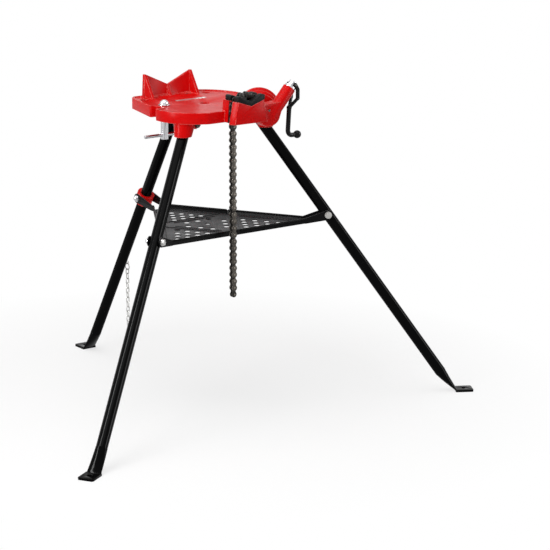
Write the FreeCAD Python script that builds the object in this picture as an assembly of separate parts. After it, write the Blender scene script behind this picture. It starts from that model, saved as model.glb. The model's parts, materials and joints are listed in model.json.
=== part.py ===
import FreeCAD, Part
import math
import os

# ----------------------------------------------------------------------
# Tripod pipe vise stand.  Millimetres and degrees.
#
# X runs from the left leg to the right leg, the vise is at the front, at
# -Y, and Z is up.  Everything is laid out around the tripod's centre line
# and is moved at the end, so that the origin is the middle of the
# footprint, on the floor.  What belongs to one leg is modelled with the
# leg pointing along +X and is then turned to that leg's direction.
# ----------------------------------------------------------------------

# legs
LEG_TUBE_OD = 26.7
LEG_TUBE_WALL = 2.9
LEG_TOP_PAST_PIVOT = 13.0
PIVOT_HEIGHT = 700.0
FRONT_PIVOT_RADIUS = 117.0
REAR_PIVOT_RADIUS = 127.0
FRONT_LEAN = 35.1
REAR_LEAN = 30.75
FRONT_LEG_SWEEP = 30.5
FRONT_FOLD = 26.0
FOOT_SQUEEZE = 62.0
FOOT_PAD_WIDTH = 38.0
FOOT_PAD_REACH = 24.0
FOOT_PAD_END = 22.0
FOOT_PAD_THICKNESS = 5.5
FOOT_PAD_CHAMFER = 3.0
ANKLE_SET = 7.0
FOOT_HOLE_DIAMETER = 11.0

# fits
RUNNING_FIT = 0.05
SIDE_GAP = 0.4
SEAT_GAP = 0.3

# leg pivots and their sockets
PIVOT_BOLT_DIAMETER = 10.0
PIVOT_HEAD_WIDTH = 17.0
PIVOT_HEAD_HEIGHT = 6.5
SOCKET_TOP_RADIUS = 29.0
SOCKET_BOTTOM_RADIUS = 20.5
SOCKET_DEPTH = 28.0
SOCKET_CHEEK_REACH = 25.0
SOCKET_BOSS_RADIUS = 12.0

# platform casting
PLATFORM_RISE = 30.5
PLATFORM_DEPTH = 26.5
PLATE_THICKNESS = 6.0
SKIRT_WALL = 6.0
RIM_WIDTH = 5.0
RIM_HEIGHT = 2.5
PLATFORM_REAR = 178.0
REAR_CORNER_X = 104.0
REAR_CORNER_CUT = 13.0
SIDE_CORNER_X = 137.0
NOTCH_REAR_Y = 35.0
NOTCH_FRONT_Y = 3.0
NOTCH_FLOOR_X = 122.0
LOBE_X = 149.0
LOBE_SIDE_X = 136.0
LOBE_SIDE_Y = -75.5
FRONT_EDGE_X = 79.0
FRONT_EDGE_Y = -121.0
RIGHT_BULGE_X = 140.0
RIGHT_BULGE_Y = 125.0
PLATFORM_CORNER_ROUND = 5.0
CENTRE_HOLE_DIAMETER = 25.0
CENTRE_HOLE_Y = 10.0
SIDE_HOLE_DIAMETER = 20.0
SIDE_HOLE_X = 90.0
SIDE_HOLE_Y = 132.0
INNER_HOLE_DIAMETER = 14.0
INNER_HOLE_X = 48.0
INNER_HOLE_Y = 148.0

# pipe rest at the back
REST_Y = 163.0
REST_THICKNESS = 7.0
REST_HALF_WIDTH = 69.0
REST_TIP_RISE = 52.5
REST_VALLEY_RISE = 23.0
REST_TIP_FLAT = 4.0
GUSSET_REACH = 35.0
GUSSET_THICKNESS = 7.0
REST_RIB_REACH = 12.0

# ceiling brace screw
BRACE_X = -96.5
BRACE_Y = 38.5
BRACE_DIAMETER = 17.5
BRACE_DROP = 82.5
BRACE_BOSS_DIAMETER = 36.0
BRACE_BOSS_DROP = 3.0
BRACE_BAR_DIAMETER = 7.6
BRACE_BAR_LENGTH = 112.0
BRACE_BAR_DROP = 72.5
BRACE_CAP_DIAMETER = 28.0
BRACE_CAP_FLANGE = 3.0
BRACE_CAP_HEIGHT = 14.0
BRACE_SPIGOT_DIAMETER = 10.0
BRACE_SPIGOT_HEIGHT = 9.0

# vise head
CHAIN_PLANE_Y = -150.8
CHAIN_SLOT = 14.1
FRONT_WALL = 15.6
REAR_WALL = 33.0
REAR_JAW_THICKNESS = 19.8
HEAD_MIDDLE_X = 2.5
HEAD_TOP_HALF = 35.5
HEAD_BOTTOM_LEFT = 40.0
HEAD_BOTTOM_RIGHT = 45.5
HEAD_FLARE = 6.5
HEAD_RISE = 26.5
HEAD_DROP = 25.5
VEE_RISE = 14.5
ELBOW_LEDGE_RISE = 14.5
ELBOW_FLOOR_DROP = 38.9
ELBOW_FLOOR_START = 50.0
ELBOW_FLOOR_END = 66.0
ELBOW_WIDTH = 28.0

# jaws
JAW_HALF_WIDTH = 38.5
JAW_RISE = 24.5
JAW_HEIGHT = 15.0
JAW_TOOTH_PITCH = 4.2
JAW_TOOTH_DEPTH = 1.3

# screw tube
TUBE_ANGLE = 48.0
TUBE_END_X = 128.3
TUBE_END_RISE = 41.5
TUBE_OD = 30.6
TUBE_BORE = 24.0
TUBE_LENGTH = 80.0
BUSH_LENGTH = 5.0
BUSH_DIAMETER = 28.0
BUSH_INSIDE = 8.0
SCREW_DIAMETER = 12.0
SCREW_LEAD = 4.0
SCREW_TURN = 145.0
SCREW_HEAD_DIAMETER = 19.0
SCREW_HEAD_LENGTH = 14.0
DRAW_NUT_LENGTH = 20.0
DRAW_NUT_PLACE = 30.0
DRAW_TONGUE_HEIGHT = 12.0

# crank
CRANK_PIN_DIAMETER = 6.0
CRANK_PIN_PLACE = 12.5
CRANK_ARM_THICKNESS = 5.5
CRANK_ARM_WIDTH = 9.0
CRANK_BOW_X = 7.5
CRANK_BOW_DROP = 12.0
CRANK_PRONG_DROP = 33.0
CRANK_FORK_DROP = 55.0
CRANK_FORK_X = -8.0
CRANK_ROD_DIAMETER = 11.2
CRANK_ROD_LEAN = -3.5
CRANK_LENGTH = 121.0
CRANK_BEND_RADIUS = 12.0
CRANK_HANDLE = 7.0
CRANK_BALL_DIAMETER = 19.0

# chain
CHAIN_PITCH = 15.95
CHAIN_PLATE_HEIGHT = 13.8
CHAIN_WAIST = 8.8
CHAIN_WAIST_RADIUS = 7.2
CHAIN_PLATE = 1.9
CHAIN_PIN_DIAMETER = 5.0
CHAIN_BUSH_DIAMETER = 8.0
CHAIN_INNER_GAP = 4.6
CHAIN_PLATE_GAP = 0.15
CHAIN_CROWN_RADIUS = 33.0
CHAIN_CROWN_X = -1.5
CHAIN_CROWN_RISE = 6.5
GUIDE_PITCH_RADIUS = 21.3
GUIDE_PLACE = -78.4
GUIDE_PIN_DIAMETER = 5.0
TAIL_DROP = 32.5
TAIL_SEGMENT_LINKS = (9, 8, 8)

# bender shoe on the right front lobe
BENDER_X = 78.0
BENDER_Y = -103.0
BENDER_DROP = 16.5
BENDER_TURN = -33.5
BENDER_RIDGES = (43.0, 47.5, 51.5)
BENDER_GROOVE_WIDTH = 18.0
BENDER_RIDGE_WIDTH = 4.0
BENDER_GROOVE_DEPTH = 5.0

# tray
TRAY_FLOOR_DROP = 20.0
TRAY_SHEET = 1.6
TRAY_RIM = 11.0
TRAY_CORNER_FRONT = 258.0
TRAY_CORNER_REAR = 239.0
TRAY_HINGE_RADIUS = 64.5
TRAY_HINGE_GAP = 0.4
TRAY_BOLT_HEIGHT = 455.0
TRAY_BOLT_DIAMETER = 8.0
REAR_FOLD = 25.0
EAR_THICKNESS = 2.5
EAR_END_RADIUS = 12.0
FRONT_LEAF_CUTBACK = 54.0
REAR_LEAF_CUTBACK = 64.0
KNUCKLE_DIAMETER = 6.6
HINGE_TONGUE = 9.0
HINGE_PIN_DIAMETER = 3.6
KNUCKLE_LENGTH = 14.0
KNUCKLE_OFFSET = 62.0
DRAIN_HOLE_DIAMETER = 15.0
DRAIN_HOLE_PITCH = 26.0
LEAF_DRAIN_ROWS = ((0.14, 4), (0.30, 3), (0.46, 2), (0.62, 1))
CENTRE_DRAIN_SET = 22.5
CENTRE_DRAIN_PITCH = 32.0
TRAY_CENTRE_HOLE = 12.0
BOLT_FLANGE_DIAMETER = 17.0
BOLT_FLANGE_HEIGHT = 1.6
BOLT_HEX_WIDTH = 13.0
BOLT_HEX_HEIGHT = 5.3
CAP_NUT_RADIUS = 6.6
CAP_NUT_HEIGHT = 9.0

# collar on the rear leg
COLLAR_DIAMETER = 43.0
COLLAR_LENGTH = 27.0
COLLAR_HALF_WIDTH = 20.5
COLLAR_BOSS_DIAMETER = 20.0

# transport chain on the rear leg
EYE_HEIGHT = 262.0
EYE_DIAMETER = 10.0
EYE_WIRE = 2.4
EYE_STANDOFF = 6.6
RING_DIAMETER = 20.0
RING_WIRE = 2.4
LINK_PITCH = 12.6
LINK_WIDTH = 10.0
LINK_WIRE = 2.4
LINK_COUNT = 12

# heights that follow from the leg pivots, the platform's top and the tray's bolts
PLATFORM_TOP = PIVOT_HEIGHT + PLATFORM_RISE
REST_TIP_Z = PLATFORM_TOP + REST_TIP_RISE
REST_VALLEY_Z = PLATFORM_TOP + REST_VALLEY_RISE
BRACE_BOTTOM = PLATFORM_TOP - BRACE_DROP
BRACE_BAR_Z = PLATFORM_TOP - BRACE_BAR_DROP
HEAD_TOP = PLATFORM_TOP + HEAD_RISE
HEAD_BOTTOM = PLATFORM_TOP - HEAD_DROP
VEE_BOTTOM = PLATFORM_TOP + VEE_RISE
ELBOW_LEDGE = PLATFORM_TOP + ELBOW_LEDGE_RISE
ELBOW_FLOOR = PLATFORM_TOP - ELBOW_FLOOR_DROP
JAW_INNER_BOTTOM = PLATFORM_TOP + JAW_RISE
JAW_TIP = JAW_INNER_BOTTOM + JAW_HEIGHT
TUBE_END_Z = PLATFORM_TOP + TUBE_END_RISE
CHAIN_CROWN_Z = PLATFORM_TOP + CHAIN_CROWN_RISE
TAIL_TOP_Z = PLATFORM_TOP - TAIL_DROP
BENDER_Z = PLATFORM_TOP - BENDER_DROP
TRAY_FLOOR = TRAY_BOLT_HEIGHT - TRAY_FLOOR_DROP

# a length that runs past every piece, for cutters without an end
FAR = 1.5 * PIVOT_HEIGHT


# ----------------------------------------------------------------------
# small tools
# ----------------------------------------------------------------------
def vec(x, y, z):
    return FreeCAD.Vector(x, y, z)


ORIGIN = vec(0, 0, 0)
AXIS_X = vec(1, 0, 0)
AXIS_Y = vec(0, 1, 0)
AXIS_Z = vec(0, 0, 1)


def sin(angle):
    return math.sin(math.radians(angle))


def cos(angle):
    return math.cos(math.radians(angle))


def tan(angle):
    return math.tan(math.radians(angle))


def prism(points, sweep):
    """Solid swept from a flat outline of corner points."""
    outline = Part.makePolygon(points + [points[0]])
    return Part.Face(outline).extrude(sweep)


def prism_xz(points, y_low, y_high):
    return prism([vec(x, y_low, z) for x, z in points], vec(0, y_high - y_low, 0))


def prism_yz(points, x_low, x_high):
    return prism([vec(x_low, y, z) for y, z in points], vec(x_high - x_low, 0, 0))


def box(x_low, x_high, y_low, y_high, z_low, z_high):
    size = (x_high - x_low, y_high - y_low, z_high - z_low)
    return Part.makeBox(size[0], size[1], size[2], vec(x_low, y_low, z_low))


def rod(start, end, diameter):
    axis = end - start
    return Part.makeCylinder(diameter / 2, axis.Length, start, axis)


def hexagon(centre, axis, width, height):
    """Hexagonal prism standing on its centre along the axis."""
    corners = []
    radius = width / 2 / cos(30)
    for step in range(7):
        corners.append(vec(radius * cos(60 * step), radius * sin(60 * step), 0))
    solid = Part.Face(Part.makePolygon(corners)).extrude(vec(0, 0, height))
    turn = FreeCAD.Rotation(AXIS_Z, axis)
    solid.Placement = FreeCAD.Placement(centre, turn)
    return solid


def fused(shapes):
    return shapes[0].multiFuse(shapes[1:]).removeSplitter()


def cut_all(shape, tools):
    return shape.cut(Part.makeCompound(tools))


def turned(shape, angle, centre=ORIGIN, axis=AXIS_Z):
    copy = shape.copy()
    copy.rotate(centre, axis, angle)
    return copy


def mirrored(shape):
    return shape.mirror(ORIGIN, AXIS_X)


def slot_face(start, end, radius, normal):
    """Flat face with two round ends, between two end centres."""
    along = (end - start).normalize()
    side = normal.cross(along) * radius
    tip = along * radius
    edges = [
        Part.LineSegment(start - side, end - side).toShape(),
        Part.Arc(end - side, end + tip, end + side).toShape(),
        Part.LineSegment(end + side, start + side).toShape(),
        Part.Arc(start + side, start - tip, start - side).toShape(),
    ]
    return Part.Face(Part.Wire(edges))


# ----------------------------------------------------------------------
# legs
# ----------------------------------------------------------------------
LEGS = {
    "front": (FRONT_PIVOT_RADIUS, FRONT_LEAN, FRONT_FOLD),
    "rear": (REAR_PIVOT_RADIUS, REAR_LEAN, REAR_FOLD),
}
FRONT_TURN = -FRONT_LEG_SWEEP
REAR_TURN = 90.0
TUBE_HALF = LEG_TUBE_OD / 2


def leg_point(kind, below_pivot):
    """Point on a leg's centre line, measured along the leg from its pivot."""
    pivot_radius, lean, _fold = LEGS[kind]
    x = pivot_radius + below_pivot * sin(lean)
    return vec(x, 0, PIVOT_HEIGHT - below_pivot * cos(lean))


def leg_point_at(kind, height):
    lean = LEGS[kind][1]
    return leg_point(kind, (PIVOT_HEIGHT - height) / cos(lean))


def foot_hole_radius(kind):
    return leg_point_at(kind, 0).x + FOOT_PAD_REACH


def pad_end_radius(kind):
    return foot_hole_radius(kind) + FOOT_PAD_END


def make_leg(kind):
    lean = LEGS[kind][1]
    down = vec(sin(lean), 0, -cos(lean))
    length = PIVOT_HEIGHT / cos(lean)
    top = leg_point(kind, -LEG_TOP_PAST_PIVOT)
    squeeze = leg_point(kind, length - FOOT_SQUEEZE)
    half_way = leg_point(kind, length - FOOT_SQUEEZE / 2) + AXIS_X * (ANKLE_SET * 0.35)
    sole = leg_point_at(kind, FOOT_PAD_THICKNESS / 2) + AXIS_X * ANKLE_SET
    tube = rod(top, squeeze, LEG_TUBE_OD)
    sections = []
    for centre, wide, thick in (
        (squeeze, TUBE_HALF * 1.02, TUBE_HALF * 1.01),
        (half_way, TUBE_HALF * 1.2, TUBE_HALF * 0.62),
        (sole, FOOT_PAD_WIDTH * 0.47, FOOT_PAD_THICKNESS / 2),
    ):
        across = centre + AXIS_Y * wide
        inward = centre + down.cross(AXIS_Y) * thick
        sections.append(Part.Wire(Part.Ellipse(across, inward, centre).toShape()))
    ankle = Part.makeLoft(sections, True)
    hole = vec(foot_hole_radius(kind), 0, 0)
    half = FOOT_PAD_WIDTH / 2
    near = sole.x - FOOT_PAD_THICKNESS / 2
    far = pad_end_radius(kind)
    cropped = far - FOOT_PAD_CHAMFER
    corners = [(near, -half), (cropped, -half), (far, FOOT_PAD_CHAMFER - half),
               (far, half - FOOT_PAD_CHAMFER), (cropped, half), (near, half), (near, -half)]
    pad = slab(Part.makePolygon([vec(x, y, 0) for x, y in corners]), 0, FOOT_PAD_THICKNESS)
    leg = fused([tube, ankle, pad])
    bolt_at = leg_point_at(kind, TRAY_BOLT_HEIGHT)
    reach = AXIS_Y * LEG_TUBE_OD
    pivot = leg_point(kind, 0)
    foot_drill = vec(0, 0, 2 * FOOT_PAD_THICKNESS)
    bore = rod(top - down, squeeze, LEG_TUBE_OD - 2 * LEG_TUBE_WALL)
    cuts = [
        bore,
        rod(pivot - reach, pivot + reach, PIVOT_BOLT_DIAMETER + 2 * RUNNING_FIT),
        rod(bolt_at - reach, bolt_at + reach, TRAY_BOLT_DIAMETER),
        rod(hole - foot_drill, hole + foot_drill, FOOT_HOLE_DIAMETER),
    ]
    return cut_all(leg, cuts)


def make_pivot_bolt(kind):
    pivot = leg_point(kind, 0)
    face = AXIS_Y * SOCKET_CHEEK_REACH
    head = hexagon(pivot + face, AXIS_Y, PIVOT_HEAD_WIDTH, PIVOT_HEAD_HEIGHT)
    shank = rod(pivot - face - AXIS_Y * (PIVOT_HEAD_HEIGHT + 3), pivot + face, PIVOT_BOLT_DIAMETER)
    return fused([head, shank])


def make_pivot_nut(kind):
    pivot = leg_point(kind, 0)
    face = AXIS_Y * SOCKET_CHEEK_REACH
    nut = hexagon(pivot - face, -AXIS_Y, PIVOT_HEAD_WIDTH, PIVOT_HEAD_HEIGHT)
    return nut.cut(rod(pivot - face * 2, pivot, PIVOT_BOLT_DIAMETER))


# ----------------------------------------------------------------------
# base casting: platform, leg sockets, pipe rest, bender and vise head
# ----------------------------------------------------------------------
PLATFORM_BOTTOM = PLATFORM_TOP - PLATFORM_DEPTH
PLATE_UNDER = PLATFORM_TOP - PLATE_THICKNESS
DECK = PLATFORM_TOP - RIM_HEIGHT





def line(start, end):
    return Part.LineSegment(vec(start[0], start[1], 0), vec(end[0], end[1], 0)).toShape()


def arc(start, middle, end):
    points = [vec(x, y, 0) for x, y in (start, middle, end)]
    return Part.Arc(points[0], points[1], points[2]).toShape()


def platform_outline():
    """Rear block with cut corners, side notch on the left, round front lobes."""
    rear_x = REAR_CORNER_X - REAR_CORNER_CUT
    rear_y = PLATFORM_REAR - REAR_CORNER_CUT
    corners = [
        (rear_x, PLATFORM_REAR),
        (-rear_x, PLATFORM_REAR),
        (-REAR_CORNER_X, rear_y),
        (-SIDE_CORNER_X, NOTCH_REAR_Y + 2),
        (-NOTCH_FLOOR_X, NOTCH_REAR_Y - 2),
        (-NOTCH_FLOOR_X, NOTCH_FRONT_Y + 2),
        (-LOBE_X, -NOTCH_FRONT_Y),
    ]
    lobe_end = (-FRONT_EDGE_X, FRONT_EDGE_Y)
    right_start = (FRONT_EDGE_X, FRONT_EDGE_Y)
    right_lobe = (LOBE_X, -NOTCH_FRONT_Y)
    right_side = (LOBE_X, REAR_CORNER_X / 2)
    edges = [line(corners[index], corners[index + 1]) for index in range(len(corners) - 1)]
    edges.append(arc(corners[-1], (-LOBE_SIDE_X, LOBE_SIDE_Y), lobe_end))
    edges.append(line(lobe_end, right_start))
    edges.append(arc(right_start, (LOBE_SIDE_X, LOBE_SIDE_Y), right_lobe))
    edges.append(line(right_lobe, right_side))
    edges.append(arc(right_side, (RIGHT_BULGE_X, RIGHT_BULGE_Y), corners[0]))
    return Part.Wire(edges), corners


def slab(wire, z_low, z_high):
    face = Part.Face(wire)
    face.translate(vec(0, 0, z_low))
    return face.extrude(vec(0, 0, z_high - z_low))


def make_platform():
    """Plate with a skirt round it and a low rim on top."""
    outline, corners = platform_outline()
    inside = outline.makeOffset2D(-SKIRT_WALL)
    deck_edge = outline.makeOffset2D(-RIM_WIDTH)
    platform = slab(outline, PLATFORM_BOTTOM, PLATFORM_TOP)
    sharp = []
    for edge in platform.Edges:
        middle = edge.CenterOfMass
        upright = edge.Length > PLATFORM_DEPTH - 1 and edge.BoundBox.XLength + edge.BoundBox.YLength < 1
        if upright and any(abs(middle.x - x) + abs(middle.y - y) < 1 for x, y in corners):
            sharp.append(edge)
    platform = platform.makeFillet(PLATFORM_CORNER_ROUND, sharp)
    platform = platform.cut(slab(inside, PLATFORM_BOTTOM - 1, PLATE_UNDER))
    return platform.cut(slab(deck_edge, DECK, PLATFORM_TOP + 1))


def socket_body(kind):
    """Tapered leg socket with its two bolt bosses, before it is hollowed."""
    pivot = leg_point(kind, 0)
    top_centre = vec(leg_point_at(kind, PLATE_UNDER).x + 20, 0, PLATE_UNDER)
    bottom_centre = leg_point_at(kind, PIVOT_HEIGHT - SOCKET_DEPTH)
    top = Part.Wire(Part.makeCircle(SOCKET_TOP_RADIUS, top_centre, AXIS_Z))
    bottom = Part.Wire(Part.makeCircle(SOCKET_BOTTOM_RADIUS, bottom_centre, AXIS_Z))
    cone = Part.makeLoft([bottom, top], True)
    reach = AXIS_Y * SOCKET_CHEEK_REACH
    boss = rod(pivot - reach, pivot + reach, 2 * SOCKET_BOSS_RADIUS)
    web = box(pivot.x - SOCKET_BOSS_RADIUS, pivot.x + SOCKET_BOSS_RADIUS,
              -SOCKET_CHEEK_REACH, SOCKET_CHEEK_REACH, PIVOT_HEIGHT, PLATE_UNDER)
    return fused([cone, boss, web])


def socket_hollow(kind):
    """Room for the leg from its open to its folded position, and the bolt hole."""
    pivot = leg_point(kind, 0)
    lean = LEGS[kind][1]
    down = vec(sin(lean), 0, -cos(lean))
    high = leg_point(kind, -LEG_TOP_PAST_PIVOT - 4)
    low = leg_point(kind, (SOCKET_DEPTH + 20) / cos(lean))
    leg_room = rod(high, low, LEG_TUBE_OD + 2 * SIDE_GAP)
    half = TUBE_HALF + SIDE_GAP
    inner_x = pivot.x - 3 * TUBE_HALF
    ceiling = PLATE_UNDER
    side = [(high.x, high.z), (low.x, low.z), (inner_x, low.z), (inner_x, ceiling), (high.x, ceiling)]
    fold_room = prism_xz(side, -half, half)
    reach = AXIS_Y * 2 * SOCKET_CHEEK_REACH
    bolt = rod(pivot - reach, pivot + reach, PIVOT_BOLT_DIAMETER + 2 * RUNNING_FIT)
    top_room = rod(pivot - AXIS_Y * half, pivot + AXIS_Y * half, 2 * (LEG_TUBE_OD * 0.8))
    top_room = top_room.common(box(0, FAR, -half, half, 0, PLATE_UNDER))
    head_room = []
    for side in (-1, 1):
        face = pivot + AXIS_Y * side * SOCKET_CHEEK_REACH
        head_room.append(rod(face, face + AXIS_Y * side * SOCKET_CHEEK_REACH, 2 * SOCKET_BOSS_RADIUS))
    leg_room = leg_room.common(box(0, FAR, -FAR, FAR, 0, PLATE_UNDER))
    return [leg_room, fold_room, bolt, top_room] + head_room


def at_each_leg(maker):
    """One copy of a leg's piece at the left, right and rear leg."""
    right = turned(maker("front"), FRONT_TURN)
    return [mirrored(right), right, turned(maker("rear"), REAR_TURN)]


def make_rest():
    """The vee plate that carries the pipe's far end, with its gussets."""
    half = REST_HALF_WIDTH
    low = DECK - 1
    profile = [(-half - 3, low), (-half, REST_TIP_Z), (-half + REST_TIP_FLAT, REST_TIP_Z), (0, REST_VALLEY_Z),
               (half - REST_TIP_FLAT, REST_TIP_Z), (half, REST_TIP_Z), (half + 3, low)]
    plate = prism_xz(profile, REST_Y, REST_Y + REST_THICKNESS)
    side = [(REST_Y + 1, low), (REST_Y + 1, REST_TIP_Z), (REST_Y, REST_TIP_Z), (REST_Y - GUSSET_REACH, low)]
    gusset = prism_yz(side, half - GUSSET_THICKNESS, half)
    gusset = gusset.common(prism_xz(profile, REST_Y - GUSSET_REACH, REST_Y + 1))
    rib_side = [(REST_Y + 1, low), (REST_Y + 1, REST_VALLEY_Z), (REST_Y, REST_VALLEY_Z),
                (REST_Y - REST_RIB_REACH, low)]
    rib = prism_yz(rib_side, -GUSSET_THICKNESS / 2, GUSSET_THICKNESS / 2)
    pad = box(-half - 5, half + 5, REST_Y - 6, REST_Y + REST_THICKNESS + 3, low, DECK + RIM_HEIGHT)
    return [plate, gusset, mirrored(gusset), rib, pad]


def make_bender():
    """Half-round bender shoe: ridges that grow towards the back, grooves between."""
    profile = [(0, 0)]
    along = 0
    for index, ridge in enumerate(BENDER_RIDGES):
        profile.append((along, ridge))
        along += BENDER_RIDGE_WIDTH
        profile.append((along, ridge))
        if index < len(BENDER_RIDGES) - 1:
            floor = ridge - BENDER_GROOVE_DEPTH
            profile.append((along + BENDER_GROOVE_WIDTH * 0.3, floor))
            profile.append((along + BENDER_GROOVE_WIDTH * 0.7, floor + 1))
            along += BENDER_GROOVE_WIDTH
    profile.append((along, 0))
    points = [vec(0, y, z) for y, z in profile]
    wheel = Part.Face(Part.makePolygon(points + [points[0]])).revolve(ORIGIN, AXIS_Y, 360)
    wheel.rotate(ORIGIN, AXIS_Z, BENDER_TURN)
    wheel.translate(vec(BENDER_X, BENDER_Y, BENDER_Z))
    return wheel.common(box(-FAR, FAR, -FAR, FAR, PLATFORM_BOTTOM, REST_TIP_Z))


FRONT_FACE_Y = CHAIN_PLANE_Y - CHAIN_SLOT / 2 - FRONT_WALL
SLOT_FRONT_Y = CHAIN_PLANE_Y - CHAIN_SLOT / 2
SLOT_REAR_Y = CHAIN_PLANE_Y + CHAIN_SLOT / 2
REAR_FACE_Y = SLOT_REAR_Y + REAR_WALL
TUBE_AXIS = vec(cos(TUBE_ANGLE), 0, sin(TUBE_ANGLE))
TUBE_NORMAL = vec(-sin(TUBE_ANGLE), 0, cos(TUBE_ANGLE))
TUBE_END = vec(TUBE_END_X, CHAIN_PLANE_Y, TUBE_END_Z)
HEAD_LEFT = HEAD_MIDDLE_X - HEAD_TOP_HALF
HEAD_RIGHT = HEAD_MIDDLE_X + HEAD_TOP_HALF
CHAIN_HALF = CHAIN_PLATE_HEIGHT / 2
CHAIN_CROWN = vec(CHAIN_CROWN_X, CHAIN_PLANE_Y, CHAIN_CROWN_Z)
GUIDE = TUBE_END + TUBE_AXIS * GUIDE_PLACE + TUBE_NORMAL * GUIDE_PITCH_RADIUS


def plate_edge_radius(pitch_radius, side):
    """Closest or farthest reach of the chain's plates from the centre they bend round."""
    if side > 0:
        return pitch_radius + CHAIN_HALF + 3 * SEAT_GAP
    chord = math.sqrt(pitch_radius ** 2 - (CHAIN_PITCH / 2) ** 2)
    return chord - CHAIN_HALF - SEAT_GAP


SADDLE_RADIUS = plate_edge_radius(CHAIN_CROWN_RADIUS, -1)
GUIDE_ROLLER_RADIUS = plate_edge_radius(GUIDE_PITCH_RADIUS, -1)
GUIDE_ROOM_RADIUS = plate_edge_radius(GUIDE_PITCH_RADIUS, 1)


def on_tube(distance):
    """Point on the screw's axis, measured outwards from the tube's end."""
    return TUBE_END + TUBE_AXIS * distance


def head_profile(flare):
    left = HEAD_LEFT - flare
    low_left = HEAD_MIDDLE_X - HEAD_BOTTOM_LEFT - flare
    return [(low_left, HEAD_BOTTOM), (left, HEAD_TOP), (HEAD_LEFT, HEAD_TOP), (HEAD_MIDDLE_X, VEE_BOTTOM),
            (HEAD_RIGHT, HEAD_TOP), (HEAD_MIDDLE_X + HEAD_BOTTOM_RIGHT, HEAD_BOTTOM)]


def profile_wire(points, y):
    corners = [vec(x, y, z) for x, z in points]
    return Part.makePolygon(corners + [corners[0]])


def make_elbow():
    """Curved body that leads the chain from the head into the screw tube."""
    y_low = CHAIN_PLANE_Y - ELBOW_WIDTH / 2
    bend_end = on_tube(-TUBE_LENGTH + 5) - TUBE_NORMAL * (TUBE_OD / 2)
    bend_middle = vec(ELBOW_FLOOR_END + 14, CHAIN_PLANE_Y, ELBOW_FLOOR + 4)
    tube_middle = on_tube(-TUBE_LENGTH * 0.45)
    floor_start = vec(ELBOW_FLOOR_START, CHAIN_PLANE_Y, ELBOW_FLOOR)
    floor_end = vec(ELBOW_FLOOR_END, CHAIN_PLANE_Y, ELBOW_FLOOR)
    wall_low = vec(HEAD_RIGHT - 6, CHAIN_PLANE_Y, HEAD_BOTTOM)
    wall_high = vec(HEAD_RIGHT - 6, CHAIN_PLANE_Y, ELBOW_LEDGE - 4)
    ledge_end = vec(HEAD_RIGHT + 50, CHAIN_PLANE_Y, ELBOW_LEDGE)
    edges = [
        Part.LineSegment(wall_high, wall_low).toShape(),
        Part.LineSegment(wall_low, floor_start).toShape(),
        Part.LineSegment(floor_start, floor_end).toShape(),
        Part.Arc(floor_end, bend_middle, bend_end).toShape(),
        Part.LineSegment(bend_end, tube_middle).toShape(),
        Part.LineSegment(tube_middle, ledge_end).toShape(),
        Part.LineSegment(ledge_end, wall_high).toShape(),
    ]
    face = Part.Face(Part.Wire(edges))
    face.translate(AXIS_Y * (y_low - CHAIN_PLANE_Y))
    return face.extrude(AXIS_Y * ELBOW_WIDTH)


def make_head():
    """Two jaw walls, elbow and screw tube, with the room that the chain needs in them."""
    front = profile_wire(head_profile(0), FRONT_FACE_Y)
    middle = profile_wire(head_profile(HEAD_FLARE), SLOT_FRONT_Y)
    front_wall = Part.makeLoft([front, middle], True, True)
    rear_wall = prism_xz(head_profile(0), SLOT_FRONT_Y, REAR_FACE_Y)
    tube = rod(on_tube(-TUBE_LENGTH), TUBE_END, TUBE_OD)
    knee = Part.makeSphere(TUBE_OD / 2, on_tube(-TUBE_LENGTH))
    body = [front_wall, rear_wall, tube, knee, make_elbow()]
    saddle_left = CHAIN_CROWN_X - SADDLE_RADIUS
    saddle_right = CHAIN_CROWN_X + SADDLE_RADIUS
    far_left = HEAD_LEFT - 4 * HEAD_FLARE
    low = HEAD_BOTTOM - 1
    left_room = box(far_left, saddle_left, SLOT_FRONT_Y, SLOT_REAR_Y, low, JAW_TIP)
    right_room = prism_xz(
        [(saddle_right, GUIDE.z + 2), (saddle_right, JAW_TIP),
         (HEAD_RIGHT + 1, JAW_TIP), (HEAD_RIGHT + 1, HEAD_TOP - 7),
         (GUIDE.x - GUIDE_ROLLER_RADIUS, GUIDE.z), (GUIDE.x - GUIDE_ROOM_RADIUS * 0.6, GUIDE.z - 10),
         (GUIDE.x - GUIDE_ROOM_RADIUS + 0.5, GUIDE.z - 4)],
        SLOT_FRONT_Y, SLOT_REAR_Y)
    crown_start = vec(CHAIN_CROWN_X, SLOT_FRONT_Y, CHAIN_CROWN_Z)
    crown = Part.makeCylinder(SADDLE_RADIUS, CHAIN_SLOT, crown_start, AXIS_Y)
    above_crown = box(saddle_left, saddle_right, SLOT_FRONT_Y, SLOT_REAR_Y, CHAIN_CROWN_Z, JAW_TIP).cut(crown)
    start = vec(GUIDE.x, SLOT_FRONT_Y, GUIDE.z)
    bend_room = Part.makeCylinder(GUIDE_ROOM_RADIUS, CHAIN_SLOT, start, AXIS_Y)
    reach = 3 * GUIDE_ROOM_RADIUS
    below = [(GUIDE.x, GUIDE.z)]
    for angle in (185, 225, 270, 270 + TUBE_ANGLE):
        below.append((GUIDE.x + reach * cos(angle), GUIDE.z + reach * sin(angle)))
    bend_room = bend_room.common(prism_xz(below, SLOT_FRONT_Y, SLOT_REAR_Y))
    roller_room = Part.makeCylinder(GUIDE_ROLLER_RADIUS + SEAT_GAP, CHAIN_SLOT, start, AXIS_Y)
    bore = rod(on_tube(-TUBE_LENGTH + 1), on_tube(1), TUBE_BORE)
    guide_hole = rod(GUIDE - AXIS_Y * TUBE_OD, GUIDE + AXIS_Y * TUBE_OD, GUIDE_PIN_DIAMETER)
    return body, [left_room, right_room, above_crown, bend_room, roller_room, bore, guide_hole]


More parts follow.
